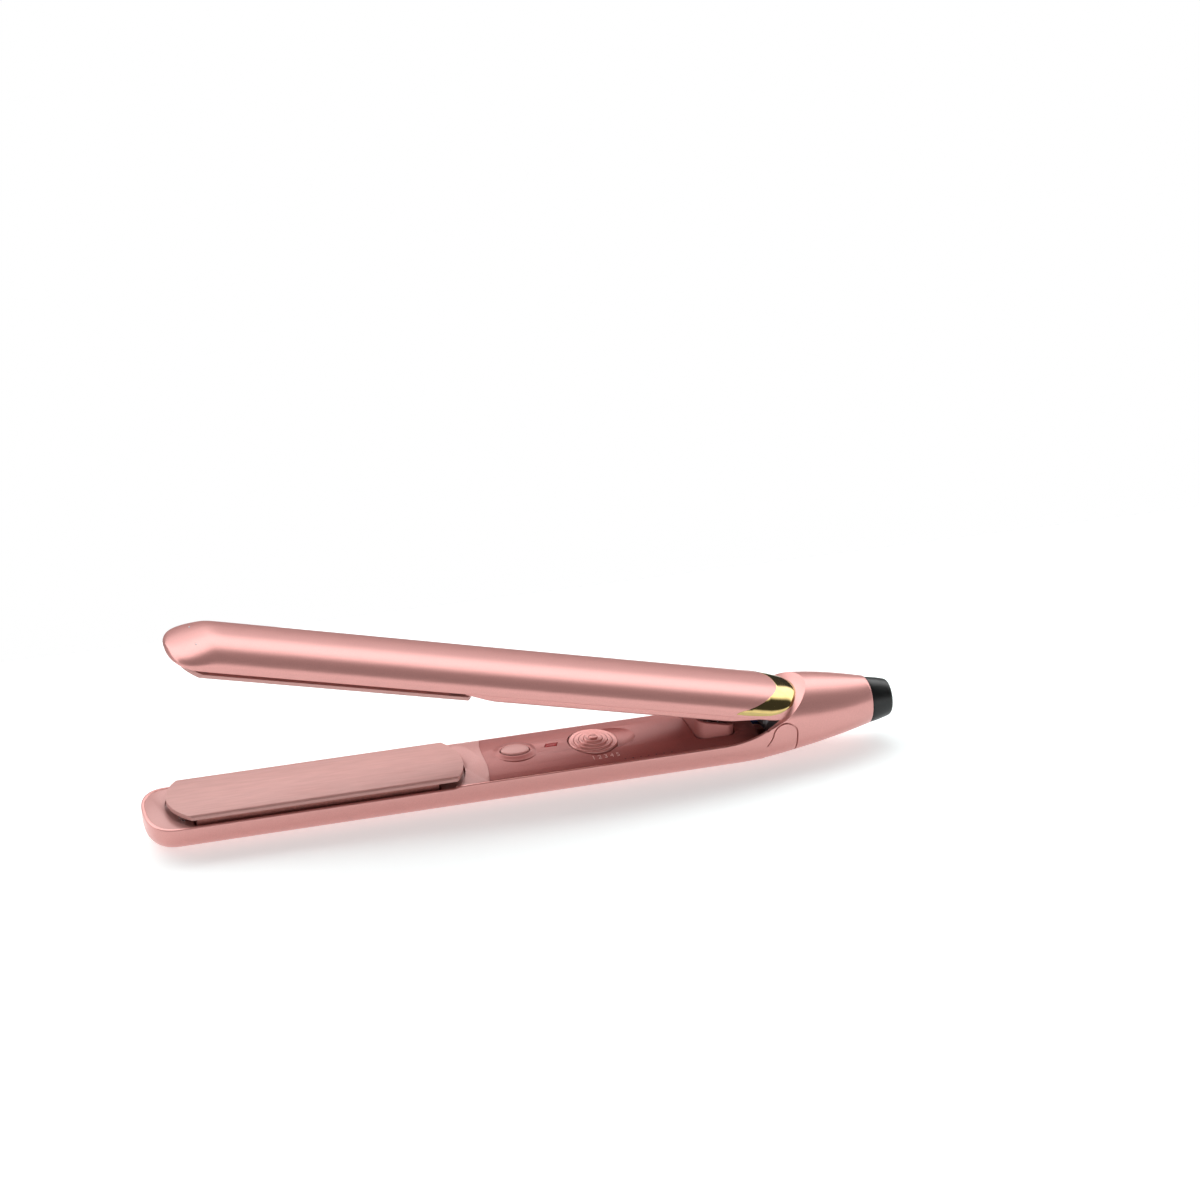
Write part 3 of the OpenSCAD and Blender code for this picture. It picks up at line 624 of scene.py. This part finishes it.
def make_frame(name, nose_x, nose_l, move):
    """Frame round a plate: a sunk ledge along its sides and a flush face at the nose."""
    piece = prism(name, arm_plan(nose_x, nose_l, 0.95, -25), 9.4, 11.15)
    carve(piece, side_prism("tool", [(-122.5, 9.9), (-20, 9.9), (-20, 20), (-121.5, 20)]))
    carve(piece, prism("tool", plate_outline(0.5), 9.9, 20))
    carve(piece, prism("tool", [(-126, -12.6), (-36, -12.6), (-36, 12.6), (-126, 12.6)], 0, 20))
    round_edges(piece, 0.12, 40, 2)
    place(piece, move)
    return piece


lower_frame = make_frame("lower_nose_face", LOWER_NOSE_X, LOWER_NOSE_L, lambda p: p)
finish_piece(lower_frame, "base", satin_rose, ["lower_plate_frame"])
upper_frame = make_frame("upper_nose_face", UPPER_NOSE_X, UPPER_NOSE_L,
                         lambda p: opened(flipped(p)))
upper_frame.data.flip_normals()
finish_piece(upper_frame, "upper_arm", satin_rose, ["upper_plate_frame"])

# ---- saddle and control panel ----

PANEL_FRONT = curve_through([(-16.4, -19.0), (-8.5, -17.7), (0, -17.5), (6, -16.9), (12.6, -15.4),
                             (16.4, -14.3)])
RIDGE_HIGH = curve_through([(-16.4, -18.95), (-7.5, -17.75), (2, -20.0), (8, -21.5),
                            (12.6, -22.2), (16.4, -22.6)])
SADDLE_EDGE = 15.55


def crown(y):
    """Height of the handle's inner face: a low crown between the rims."""
    return PANEL_TOP - 2.25 * (y / HALF_W) ** 2


def plate_end(y, grow):
    """Right end of the plate's outline at y."""
    half, rise = PLATE_HALF + grow, HANDLE_RISE
    r = (half * half + rise * rise) / (2 * rise)
    return HANDLE_END + grow + math.sqrt(max(0.0, r * r - y * y)) - r + rise


def saddle_front(y):
    """Front edge of the saddle: round the plate's end, then out to the rim."""
    if abs(y) < 12.4:
        return plate_end(y, 0.6)
    return plate_end(12.4, 0.6) - (abs(y) - 12.4) * 1.15


def ridge_low(y):
    """Foot of the saddle's slanted facet."""
    return max(saddle_front(y) + 0.3,
               curve_through([(-16.4, -18.95), (-12, -20.9), (-4.5, -24.3), (2, -26.6),
                              (16.4, -30)])(y))


def saddle_z(x, y):
    """Height of the saddle: it climbs from the plate to the handle's inner face."""
    low, high = ridge_low(y), RIDGE_HIGH(y)
    base = 12.1 - 0.3 * way(x, -24, -29)
    level = crown(y) + 0.45 * way(HALF_W - abs(y), 0.6, 3.5)
    return min(level, base + (level - base) * way(x, low, max(high, low + 0.05)))


rows, cols = 72, 56
top, bottom = [], []
for j in range(rows + 1):
    y = -SADDLE_EDGE + 2 * SADDLE_EDGE * j / rows
    x0, x1 = saddle_front(y), PANEL_FRONT(y) - 0.05
    for i in range(cols + 1):
        x = x0 + (x1 - x0) * i / cols
        top.append((x, y, saddle_z(x, y)))
        bottom.append((x, y, 10.9))
faces = []
per, total = cols + 1, (rows + 1) * (cols + 1)
for j in range(rows):
    for i in range(cols):
        q = (j * per + i, j * per + i + 1, (j + 1) * per + i + 1, (j + 1) * per + i)
        faces.append(q)
        faces.append(tuple(total + k for k in reversed(q)))
border = ([i for i in range(per)] + [j * per + cols for j in range(1, rows + 1)]
          + [rows * per + i for i in range(cols - 1, -1, -1)]
          + [j * per for j in range(rows - 1, 0, -1)])
for k, a in enumerate(border):
    b = border[(k + 1) % len(border)]
    faces.append((a, total + a, total + b, b))
saddle = build("saddle_face", top + bottom, faces)
round_edges(saddle, 0.2, 50, 2)
finish_piece(saddle, "base", satin_rose, angle=30)

panel_section = [(15.5 - 31 * i / 40, crown(15.5 - 31 * i / 40)) for i in range(41)]
panel_section += [(-15.5, 11.1), (15.5, 11.1)]
panel = bar("control_panel_skin", panel_section, -22, 86)
plan = [(PANEL_FRONT(y), y) for y in [-17 + 34 * i / 40 for i in range(41)]]
plan += [(90, 17), (90, -17)]
carve(panel, prism("tool", plan, 0, 40), "INTERSECT")


def ellipse(cx, cy, a, b, sides=72):
    return [(cx + a * math.cos(2 * math.pi * i / sides), cy + b * math.sin(2 * math.pi * i / sides))
            for i in range(sides)]


def round_box(x0, x1, half, r, steps=10):
    pts = []
    for q in range(4):
        cx = x1 - r if q in (0, 3) else x0 + r
        cy = half - r if q < 2 else r - half
        for i in range(steps + 1):
            a = math.pi / 2 * (q + i / steps)
            pts.append((cx + r * math.cos(a), cy + r * math.sin(a)))
    return pts


# thumb scoop beside the dial, dial well, button and lens openings, spring housing opening
scoop = []
for k in range(17):
    a = math.pi / 2 * k / 16
    scoop.append([(p[0], p[1], PANEL_TOP + 0.9 - 3.1 * math.sin(a))
                  for p in ellipse(31.2, 0.6, 10.4 * math.cos(a) + 0.01, 8.9 * math.cos(a) + 0.01)])
carve(panel, loft("tool", list(reversed(scoop))))
carve(panel, prism("tool", ellipse(DIAL_X, DIAL_Y, 9.65, 9.65, 96), 12.4, 30))
carve(panel, prism("tool", ellipse(BUTTON_X, 0, 5.75, 4.35), 0, 30))
LENS = [(-2.9, -1.2), (1.7, -1.2), (2.9, 1.2), (-1.7, 1.2)]
carve(panel, prism("tool", [(LENS_X + x * 1.05, LENS_Y + y * 1.08) for x, y in LENS], 0, 30))
carve(panel, prism("tool", round_box(*SPRING_WELL, 3), 0, 30))
round_edges(panel, 0.22, 22, 3, lambda x, y, z: z > 12.6 and abs(y) < 13)
finish_piece(panel, "base", MATERIALS["inner_rose"], ["control_panel"], 28)

# raised surround of the button: a soft mound that runs out into the panel
mound = [(3.1, -0.12), (2.5, 0.0), (1.9, 0.14), (1.3, 0.36), (0.85, 0.5), (0.45, 0.52), (0.2, 0.42),
         (0.12, 0.2), (0.12, -1.2), (3.1, -1.2)]
sides = 96
surround = loft("button_surround",
                [[(BUTTON_X + (5.5 + r) * math.cos(a), (4.1 + r) * math.sin(a), PANEL_TOP + z)
                  for r, z in mound] for a in [2 * math.pi * k / sides for k in range(sides + 1)]],
                caps=False)
finish_piece(surround, "base", MATERIALS["inner_rose"], angle=40)

# indicator window, slanted, with a slightly crowned top
lens_rings = []
for grow, z in ((1.0, 12.0), (1.0, 14.0), (0.94, 14.2), (0.8, 14.3), (0.5, 14.36), (0.02, 14.38)):
    lens_rings.append([(LENS_X + x * grow, LENS_Y + y * grow, z) for x, y in LENS])
lens = loft("indicator_window", lens_rings)
finish_piece(lens, "base", MATERIALS["red_lens"], ["indicator_lens"], 60)

# spring housing: a cup with a slanted, rolled mouth
outer = round_box(62.5, 78, 10, 4.2)
inner = round_box(64.5, 76, 8, 2.6)
housing = loft("spring_housing_skin", [[(x, y, z) for x, y in outer] for z in (5, 14, 24)])
carve(housing, loft("tool", [[(x, y, z) for x, y in inner] for z in (10, 26)]))
carve(housing, side_prism("tool", [(50, 23.7), (50, 40), (95, 40), (95, 12.68)]))
round_edges(housing, 0.75, 40, 4, lambda x, y, z: z > 14.5)
finish_piece(housing, "base", MATERIALS["inner_rose"], ["spring_housing"], 32)

# power button: a crowned oval cap
button_rings = []
for grow, z in ((-0.35, 11.6), (0.0, 12.4), (0.0, 14.55), (-0.06, 14.8), (-0.2, 14.98),
                (-0.45, 15.1), (-1.0, 15.2), (-1.9, 15.27), (-2.9, 15.3)):
    button_rings.append([(x, y, z) for x, y in ellipse(BUTTON_X, 0, 5.4 + grow, 4.0 + grow)])
button = loft("power_button_cap", button_rings)
finish_piece(button, "button", satin_rose, ["power_button"], 40)

# temperature dial: four rounded ridges that step up to a small crowned centre
profile = [(0.0, 11.2), (8.8, 11.2), (9.2, 11.6), (9.2, 13.75)]
level, radius = 13.75, 9.2
for ridge in range(4):
    profile += [(radius - 0.03, level + 0.18), (radius - 0.14, level + 0.36),
                (radius - 0.36, level + 0.47), (radius - 0.62, level + 0.46),
                (radius - 1.2, level + 0.36), (radius - 1.62, level + 0.28),
                (radius - 1.78, level + 0.3)]
    level += 0.42
    radius -= 1.86
profile += [(1.68, level + 0.22), (1.45, level + 0.4), (1.0, level + 0.47), (0.0, level + 0.5)]
dial = turned("temperature_dial_cap", profile, (DIAL_X, DIAL_Y), sides=128)
finish_piece(dial, "dial", shaded_dial_rose, ["temperature_dial"], 50)

# generic scale figures beside the dial, and a row of small dots along the panel's near edge
text = bpy.data.curves.new("scale", "FONT")
text.body = "1 2 3 4 5"
text.size = FIGURES_SIZE * MM
text.extrude = 0.03 * MM
text.align_x = "CENTER"
label = bpy.data.objects.new("scale", text)
bpy.context.scene.collection.objects.link(label)
bpy.context.view_layer.update()
mesh = bpy.data.meshes.new_from_object(label.evaluated_get(bpy.context.evaluated_depsgraph_get()))
bpy.data.objects.remove(label)
marks = bpy.data.objects.new("scale_figures", mesh)
bpy.context.scene.collection.objects.link(marks)
for v in mesh.vertices:
    y = v.co.y / MM + FIGURES_Y
    v.co += Vector((FIGURES_X * MM, FIGURES_Y * MM, (crown(y) + 0.03) * MM))
finish_piece(marks, "base", mark_material)
points, faces = [], []
for x in DOTS_X:
    start = len(points)
    for r, z in ((0.34, 11.9), (0.34, crown(DOTS_Y) + 0.05), (0.2, crown(DOTS_Y) + 0.09)):
        points += [(x + r * math.cos(a), DOTS_Y + 0.8 * r * math.sin(a), z)
                   for a in [math.pi * k / 6 for k in range(12)]]
    for level in (0, 1):
        for k in range(12):
            a, b = start + level * 12 + k, start + level * 12 + (k + 1) % 12
            faces.append((a, b, b + 12, a + 12))
    faces.append(tuple(range(start + 24, start + 36)))
    faces.append(tuple(reversed(range(start, start + 12))))
dots = build("panel_dots", points, faces)
finish_piece(dots, "base", dot_material)

# inner cover of the upper arm
cover_section = [(-15.9, UPPER_RIM_Z + 0.2), (-15.9, 17.0), (-15.3, 16.4), (15.3, 16.4),
                 (15.9, 17.0), (15.9, UPPER_RIM_Z + 0.2)]
cover = bar("upper_inner_cover_skin", cover_section, -32, 84.5)
carve(cover, side_prism("tool", [(-40, 0), (-40, 18.4), (-31, 18.2), (-20.5, 16.4), (-19.5, 10)]))
carve(cover, prism("tool", plate_outline(0.6), 0, UPPER_RIM_Z - 0.1))
carve(cover, prism("tool", round_box(59.5, 81, 11.2, 3.4), 0, 40))
carve(cover, prism("tool", [(80, -9), (90, -9), (90, 9), (80, 9)], 0, 40))
carve(cover, side_prism("tool", [(66, 0), (66, 16.1), (70, 16.5), (84, 18.6), (90, 18.6), (90, 0)]))
round_edges(cover, 0.3, 20, 3)
place(cover, opened)
finish_piece(cover, "upper_arm", MATERIALS["rose_lacquer"],
             ["upper_inner_cover"], 30)

# ---- rear collar and hinge caps ----

COLLAR_TAPER = curve_through([(100, 0.0), (104, 0.06), (110, 0.5), (118, 1.9), (126, 4.3),
                              (133.5, 7.3)])
COLLAR_HIGH = curve_through([(100, 27.9), (106, 27.8), (114, 27.1), (124, 25.6), (133.5, 23.8)])


def collar_ring(x, inset, steps=48):
    """One ring of the collar, round the underside first and then over the top."""
    w = HALF_W - COLLAR_TAPER(x) - inset
    low, high = LOWER_LOW(x) + inset, COLLAR_HIGH(x) - inset
    mid_low = RIM_Z + 3 * way(x, 88, 116) ** 1.2
    mid_high = 15.4 - 0.7 * way(x, 100, COLLAR_END)
    n_low = SECTION_N - 0.5 * way(x, 88, COLLAR_END)
    n_high = 2.2 - 0.2 * way(x, 100, COLLAR_END)
    keel = 0.25 * (1 - way(x, 80, 104))
    ring = []
    for i in range(steps + 1):
        a = math.pi + math.pi * i / steps
        drop = (mid_low - low + keel) * bulge(math.sin(a), n_low)
        ring.append((x, w * bulge(math.cos(a), n_low), mid_low + max(drop, low - mid_low)))
    for i in range(steps + 1):
        a = math.pi * i / steps
        ring.append((x, w * bulge(math.cos(a), n_high),
                     mid_high + (high - mid_high) * bulge(math.sin(a), n_high)))
    return ring


def collar_solid(name, inset, x0, x1):
    return loft(name, [collar_ring(x, inset) for x in range(x0, x1 + 1, 2)])


CAP_R = 4.5


def arch(r):
    """Outline of a hinge cap in side view: an arch round the pin, down to the underside."""
    pts = [(PIVOT_X + r * math.cos(a), PIVOT_Z + r * math.sin(a))
           for a in [math.pi * k / 40 for k in range(41)]]
    grow = r - CAP_R
    return ([(PIVOT_X + r, -5)] + pts
            + [(89.6 - grow, 11.2), (SEAM_X - 0.2 - grow, 9.0), (SEAM_X - 0.2 - grow, -5)])


def front_of(index, inset, shift=0.0):
    """Where the collar's lengthwise line meets its seam or the lip of its mouth."""
    low, high = SEAM_X, 112.0
    if collar_ring(SEAM_X, inset)[index][2] <= LIP(SEAM_X - shift):
        return SEAM_X
    for _ in range(24):
        x = (low + high) / 2
        if collar_ring(x, inset)[index][2] > LIP(x - shift) - 0.001 * (x - low):
            low = x
        else:
            high = x
    return high


def make_collar():
    """The collar as one skin: outside, end face, bore, bulkhead, inside and a broad mouth lip."""
    columns = []
    count = len(collar_ring(SEAM_X, 0.0))
    for index in range(count):
        deep = 1.4 * smooth_way(front_of(index, 1.3), 96, 104)
        x_lip = front_of(index, 1.3 + deep)
        broad = smooth_way(x_lip, SEAM_X, 95)
        x_out = min(front_of(index, 0.0, 0.6 + 1.5 * broad), 109.0)
        if x_lip <= SEAM_X:
            x_out = SEAM_X
        column = []
        steps = 40
        for k in range(steps + 1):
            column.append(collar_ring(x_out + (COLLAR_END - 0.3 - x_out) * k / steps, 0.0)[index])
        edge = collar_ring(COLLAR_END, 0.0)[index]
        a = math.atan2(edge[2] - GLAND_Z, edge[1])
        column.append(collar_ring(COLLAR_END - 0.08, 0.09)[index])
        column.append(collar_ring(COLLAR_END, 0.3)[index])
        for x, r in ((COLLAR_END, 6.45), (130.6, 6.45), (130.0, 6.7)):
            column.append((x, r * math.cos(a), GLAND_Z + r * math.sin(a)))
        for k in range(13):
            column.append(collar_ring(129.5 + (x_lip + 1.6 - 129.5) * k / 12,
                                       1.75 + deep * k / 12)[index])
        lip = collar_ring(x_lip, 1.3 + deep)[index]
        start = column[0]
        column.append(collar_ring(x_lip + 0.5, 1.55 + deep)[index])
        for k in range(9):
            t = k / 9
            sag = 0.35 * broad * math.sin(math.pi * t)
            mid = [lip[n] + (start[n] - lip[n]) * t for n in range(3)]
            across = math.hypot(mid[1], mid[2] - PARTING_Z) or 1.0
            column.append((mid[0], mid[1] * (1 - sag / across),
                           mid[2] - (mid[2] - PARTING_Z) * sag / across))
        columns.append(column)
    faces = []
    length = len(columns[0])
    for i in range(count):
        j = (i + 1) % count
        for k in range(length):
            m = (k + 1) % length
            faces.append((i * length + k, i * length + m, j * length + m, j * length + k))
    return build("rear_collar_skin", [p for column in columns for p in column], faces)


collar = make_collar()
SEAM = 0.6
for side in (-1, 1):
    skin = collar_solid("tool", -0.5, 80, 110)
    carve(skin, collar_solid("tool2", 1.15, 78, 112))
    y0, y1 = (5, 30) if side > 0 else (-30, -5)
    carve(skin, side_prism("tool3", arch(CAP_R + SEAM), y0, y1), "INTERSECT")
    carve(collar, skin)
finish_piece(collar, "base", MATERIALS["rose_lacquer"], ["rear_collar"], 34)

for side, label in ((-1, "near"), (1, "far")):
    cap = collar_solid(f"hinge_cap_{label}_skin", 0.0, 80, 110)
    carve(cap, collar_solid("tool2", 1.0, 78, 112))
    y0, y1 = (5, 30) if side > 0 else (-30, -5)
    carve(cap, side_prism("tool3", arch(CAP_R), y0, y1), "INTERSECT")
    round_edges(cap, 0.12, 50, 2)
    finish_piece(cap, "base", MATERIALS["rose_lacquer"], [f"hinge_cap_{label}"], 34)

# ---- cord gland ----
gland_profile = [(0.0, 121.0), (4.9, 121.0), (5.0, 121.2), (5.0, 133.62), (8.5, 133.62),
                 (8.72, 133.8), (8.78, 134.1), (8.62, 135.2), (8.3, 137.0), (7.9, 138.8),
                 (7.5, 140.4), (7.15, 141.6), (6.95, 142.1), (6.75, 142.35), (6.4, 142.48),
                 (4.1, 142.48), (3.6, 142.3), (3.3, 141.9), (3.2, 141.2), (3.2, 122.5),
                 (0.0, 122.5)]
gland = turned("cord_gland_skin", gland_profile, (0, GLAND_Z), "X")
finish_piece(gland, "cord_swivel", MATERIALS["soft_black"], ["cord_gland"], 40)

# ---- springs ----


def coil(name, centre, r, wire, z0, z1, turns, move=None, per_turn=28, sides=10):
    """A coil spring with its end turns closed up flat."""
    rings = []
    count = int(turns * per_turn)
    for j in range(count + 1):
        u = j / count
        a = 2 * math.pi * turns * u
        lift = (u - math.sin(2 * math.pi * u) / (2 * math.pi) * 0.55)
        z = z0 + wire + (z1 - z0 - 2 * wire) * lift
        ring = []
        for i in range(sides):
            b = -2 * math.pi * i / sides
            rr = r + wire * math.cos(b)
            ring.append((centre[0] + rr * math.cos(a), centre[1] + rr * math.sin(a),
                         z + wire * math.sin(b)))
        rings.append(ring)
    return loft(name, rings, move)


main_spring = coil("opening_spring_coil", (70, 0), 4.2, 0.6, 4.4, 27.2, 8)
finish_piece(main_spring, "base", MATERIALS["spring_steel"], ["opening_spring"], 60)
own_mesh(main_spring)

# float springs: two under each plate, from the seat in the shell to the carrier
for half, body, seat, move in (("lower", "base", 3.4, lambda p: p),
                               ("upper", "upper_arm", 3.9, lambda p: opened(flipped(p)))):
    for end, x in (("tip", -112), ("handle", -48)):
        spring = coil(f"{half}_float_spring_{end}", (x, 0), 2.3, 0.35, seat, CARRIER_FOOT, 4,
                      move)
        finish_piece(spring, body, MATERIALS["spring_steel"],
                     [f"{half}_float_springs"], 60)
        foot, top = Vector(move((x, 0, seat))), Vector(move((x, 0, CARRIER_FOOT)))
        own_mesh(spring)

# ---- CAD nodes that stay: procedural materials by the record's slots ----
for part in frame["record"]["subparts"]:
    if part["node"] not in REPLACED:
        node = frame["nodes"][part["node"]]
        node.data.materials.clear()
        node.data.materials.append(MATERIALS[part["material_slot"]])

# ---- floor, light and camera ----


def stage_material(name, color, glow):
    n = Nodes(name)
    tone = n.spread(n.noise(30.0, 2.0), 0.0, 1.0)
    n.link(n.blend(tone, scaled(color, 0.995), color), n.shader.inputs["Base Color"])
    n.set(Roughness=0.9, Specular_IOR_Level=0.0, Emission_Color=(1.0, 1.0, 1.0, 1.0),
          Emission_Strength=glow)
    return n.material


# in metres; the floor ends a little behind the object
FLOOR_SIDE, FLOOR_BACK, FLOOR_GLOW = 0.9, 0.16, 0.46
floor_mesh = bpy.data.meshes.new("floor")
floor_mesh.from_pydata([(-FLOOR_SIDE, -FLOOR_SIDE, 0), (FLOOR_SIDE, -FLOOR_SIDE, 0),
                        (FLOOR_SIDE, FLOOR_BACK, 0), (-FLOOR_SIDE, FLOOR_BACK, 0)], [],
                       [(0, 1, 2, 3)])
floor = bpy.data.objects.new("floor", floor_mesh)
bpy.context.scene.collection.objects.link(floor)
floor_mesh.materials.append(stage_material("floor_paper", (0.80, 0.87, 0.87), FLOOR_GLOW))

world = bpy.data.worlds.new("studio")
bpy.context.scene.world = world
world.use_nodes = True
tree = world.node_tree
background = tree.nodes["Background"]
split = tree.nodes.new("ShaderNodeSeparateXYZ")
sky_point = tree.nodes.new("ShaderNodeTexCoord").outputs["Generated"]
tree.links.new(sky_point, split.inputs["Vector"])


def sky_math(operation, *values):
    """A math node of the sky, fed with sockets or plain numbers."""
    node = tree.nodes.new("ShaderNodeMath")
    node.operation = operation
    for socket, value in zip(node.inputs, values):
        if isinstance(value, float):
            socket.default_value = value
        else:
            tree.links.new(value, socket)
    return node.outputs["Value"]


front = sky_math("MULTIPLY", split.outputs["Y"], -1.0)
above = sky_math("MAXIMUM", split.outputs["Z"], 0.0)
share = sky_math("DIVIDE", sky_math("ARCTAN2", above, front), math.pi)
ramp = tree.nodes.new("ShaderNodeValToRGB")
ramp.color_ramp.interpolation = "EASE"
# brightness round the object, from the front horizon over the top to the back horizon, in degrees
stops = [(0, 0.55), (11, 0.50), (26, 0.025), (98, 0.025), (124, 1.0), (149, 1.0), (157, 0.02),
         (180, 0.02)]
SKY_STRENGTH = 3.4
elements = ramp.color_ramp.elements
while len(elements) > 1:
    elements.remove(elements[0])
elements[0].position = stops[0][0] / 180
elements[0].color = (stops[0][1],) * 3 + (1.0,)
for degrees, level in stops[1:]:
    e = elements.new(degrees / 180)
    e.color = (level, level, level, 1.0)
tree.links.new(share, ramp.inputs["Fac"])
tree.links.new(ramp.outputs["Color"], background.inputs["Color"])
background.inputs["Strength"].default_value = SKY_STRENGTH
# the backdrop behind the set is plain white to the eye
white = tree.nodes.new("ShaderNodeBackground")
white.inputs["Color"].default_value = (1.0, 1.0, 1.0, 1.0)
mix = tree.nodes.new("ShaderNodeMixShader")
tree.links.new(tree.nodes.new("ShaderNodeLightPath").outputs["Is Camera Ray"], mix.inputs["Fac"])
tree.links.new(background.outputs["Background"], mix.inputs[1])
tree.links.new(white.outputs["Background"], mix.inputs[2])
tree.links.new(mix.outputs["Shader"], tree.nodes["World Output"].inputs["Surface"])

scene = bpy.context.scene
scene.view_settings.view_transform = "Standard"

# camera: its direction, the point it looks at and its distance in metres, its lens in millimetres
AZIMUTH, ELEVATION = math.radians(-17.31), math.radians(25.0)
AIM, DISTANCE, FOCAL_LENGTH = Vector((0.02775, 0.0, 0.07105)), 1.0, 82.706
back = Vector((math.sin(AZIMUTH) * math.cos(ELEVATION), -math.cos(AZIMUTH) * math.cos(ELEVATION),
               math.sin(ELEVATION)))
camera_data = bpy.data.cameras.new("camera")
camera_data.lens = FOCAL_LENGTH
camera_data.sensor_width = 36.0
camera = bpy.data.objects.new("camera", camera_data)
scene.collection.objects.link(camera)
camera.location = AIM + back * DISTANCE
camera.rotation_euler = back.to_track_quat("Z", "Y").to_euler()
scene.camera = camera
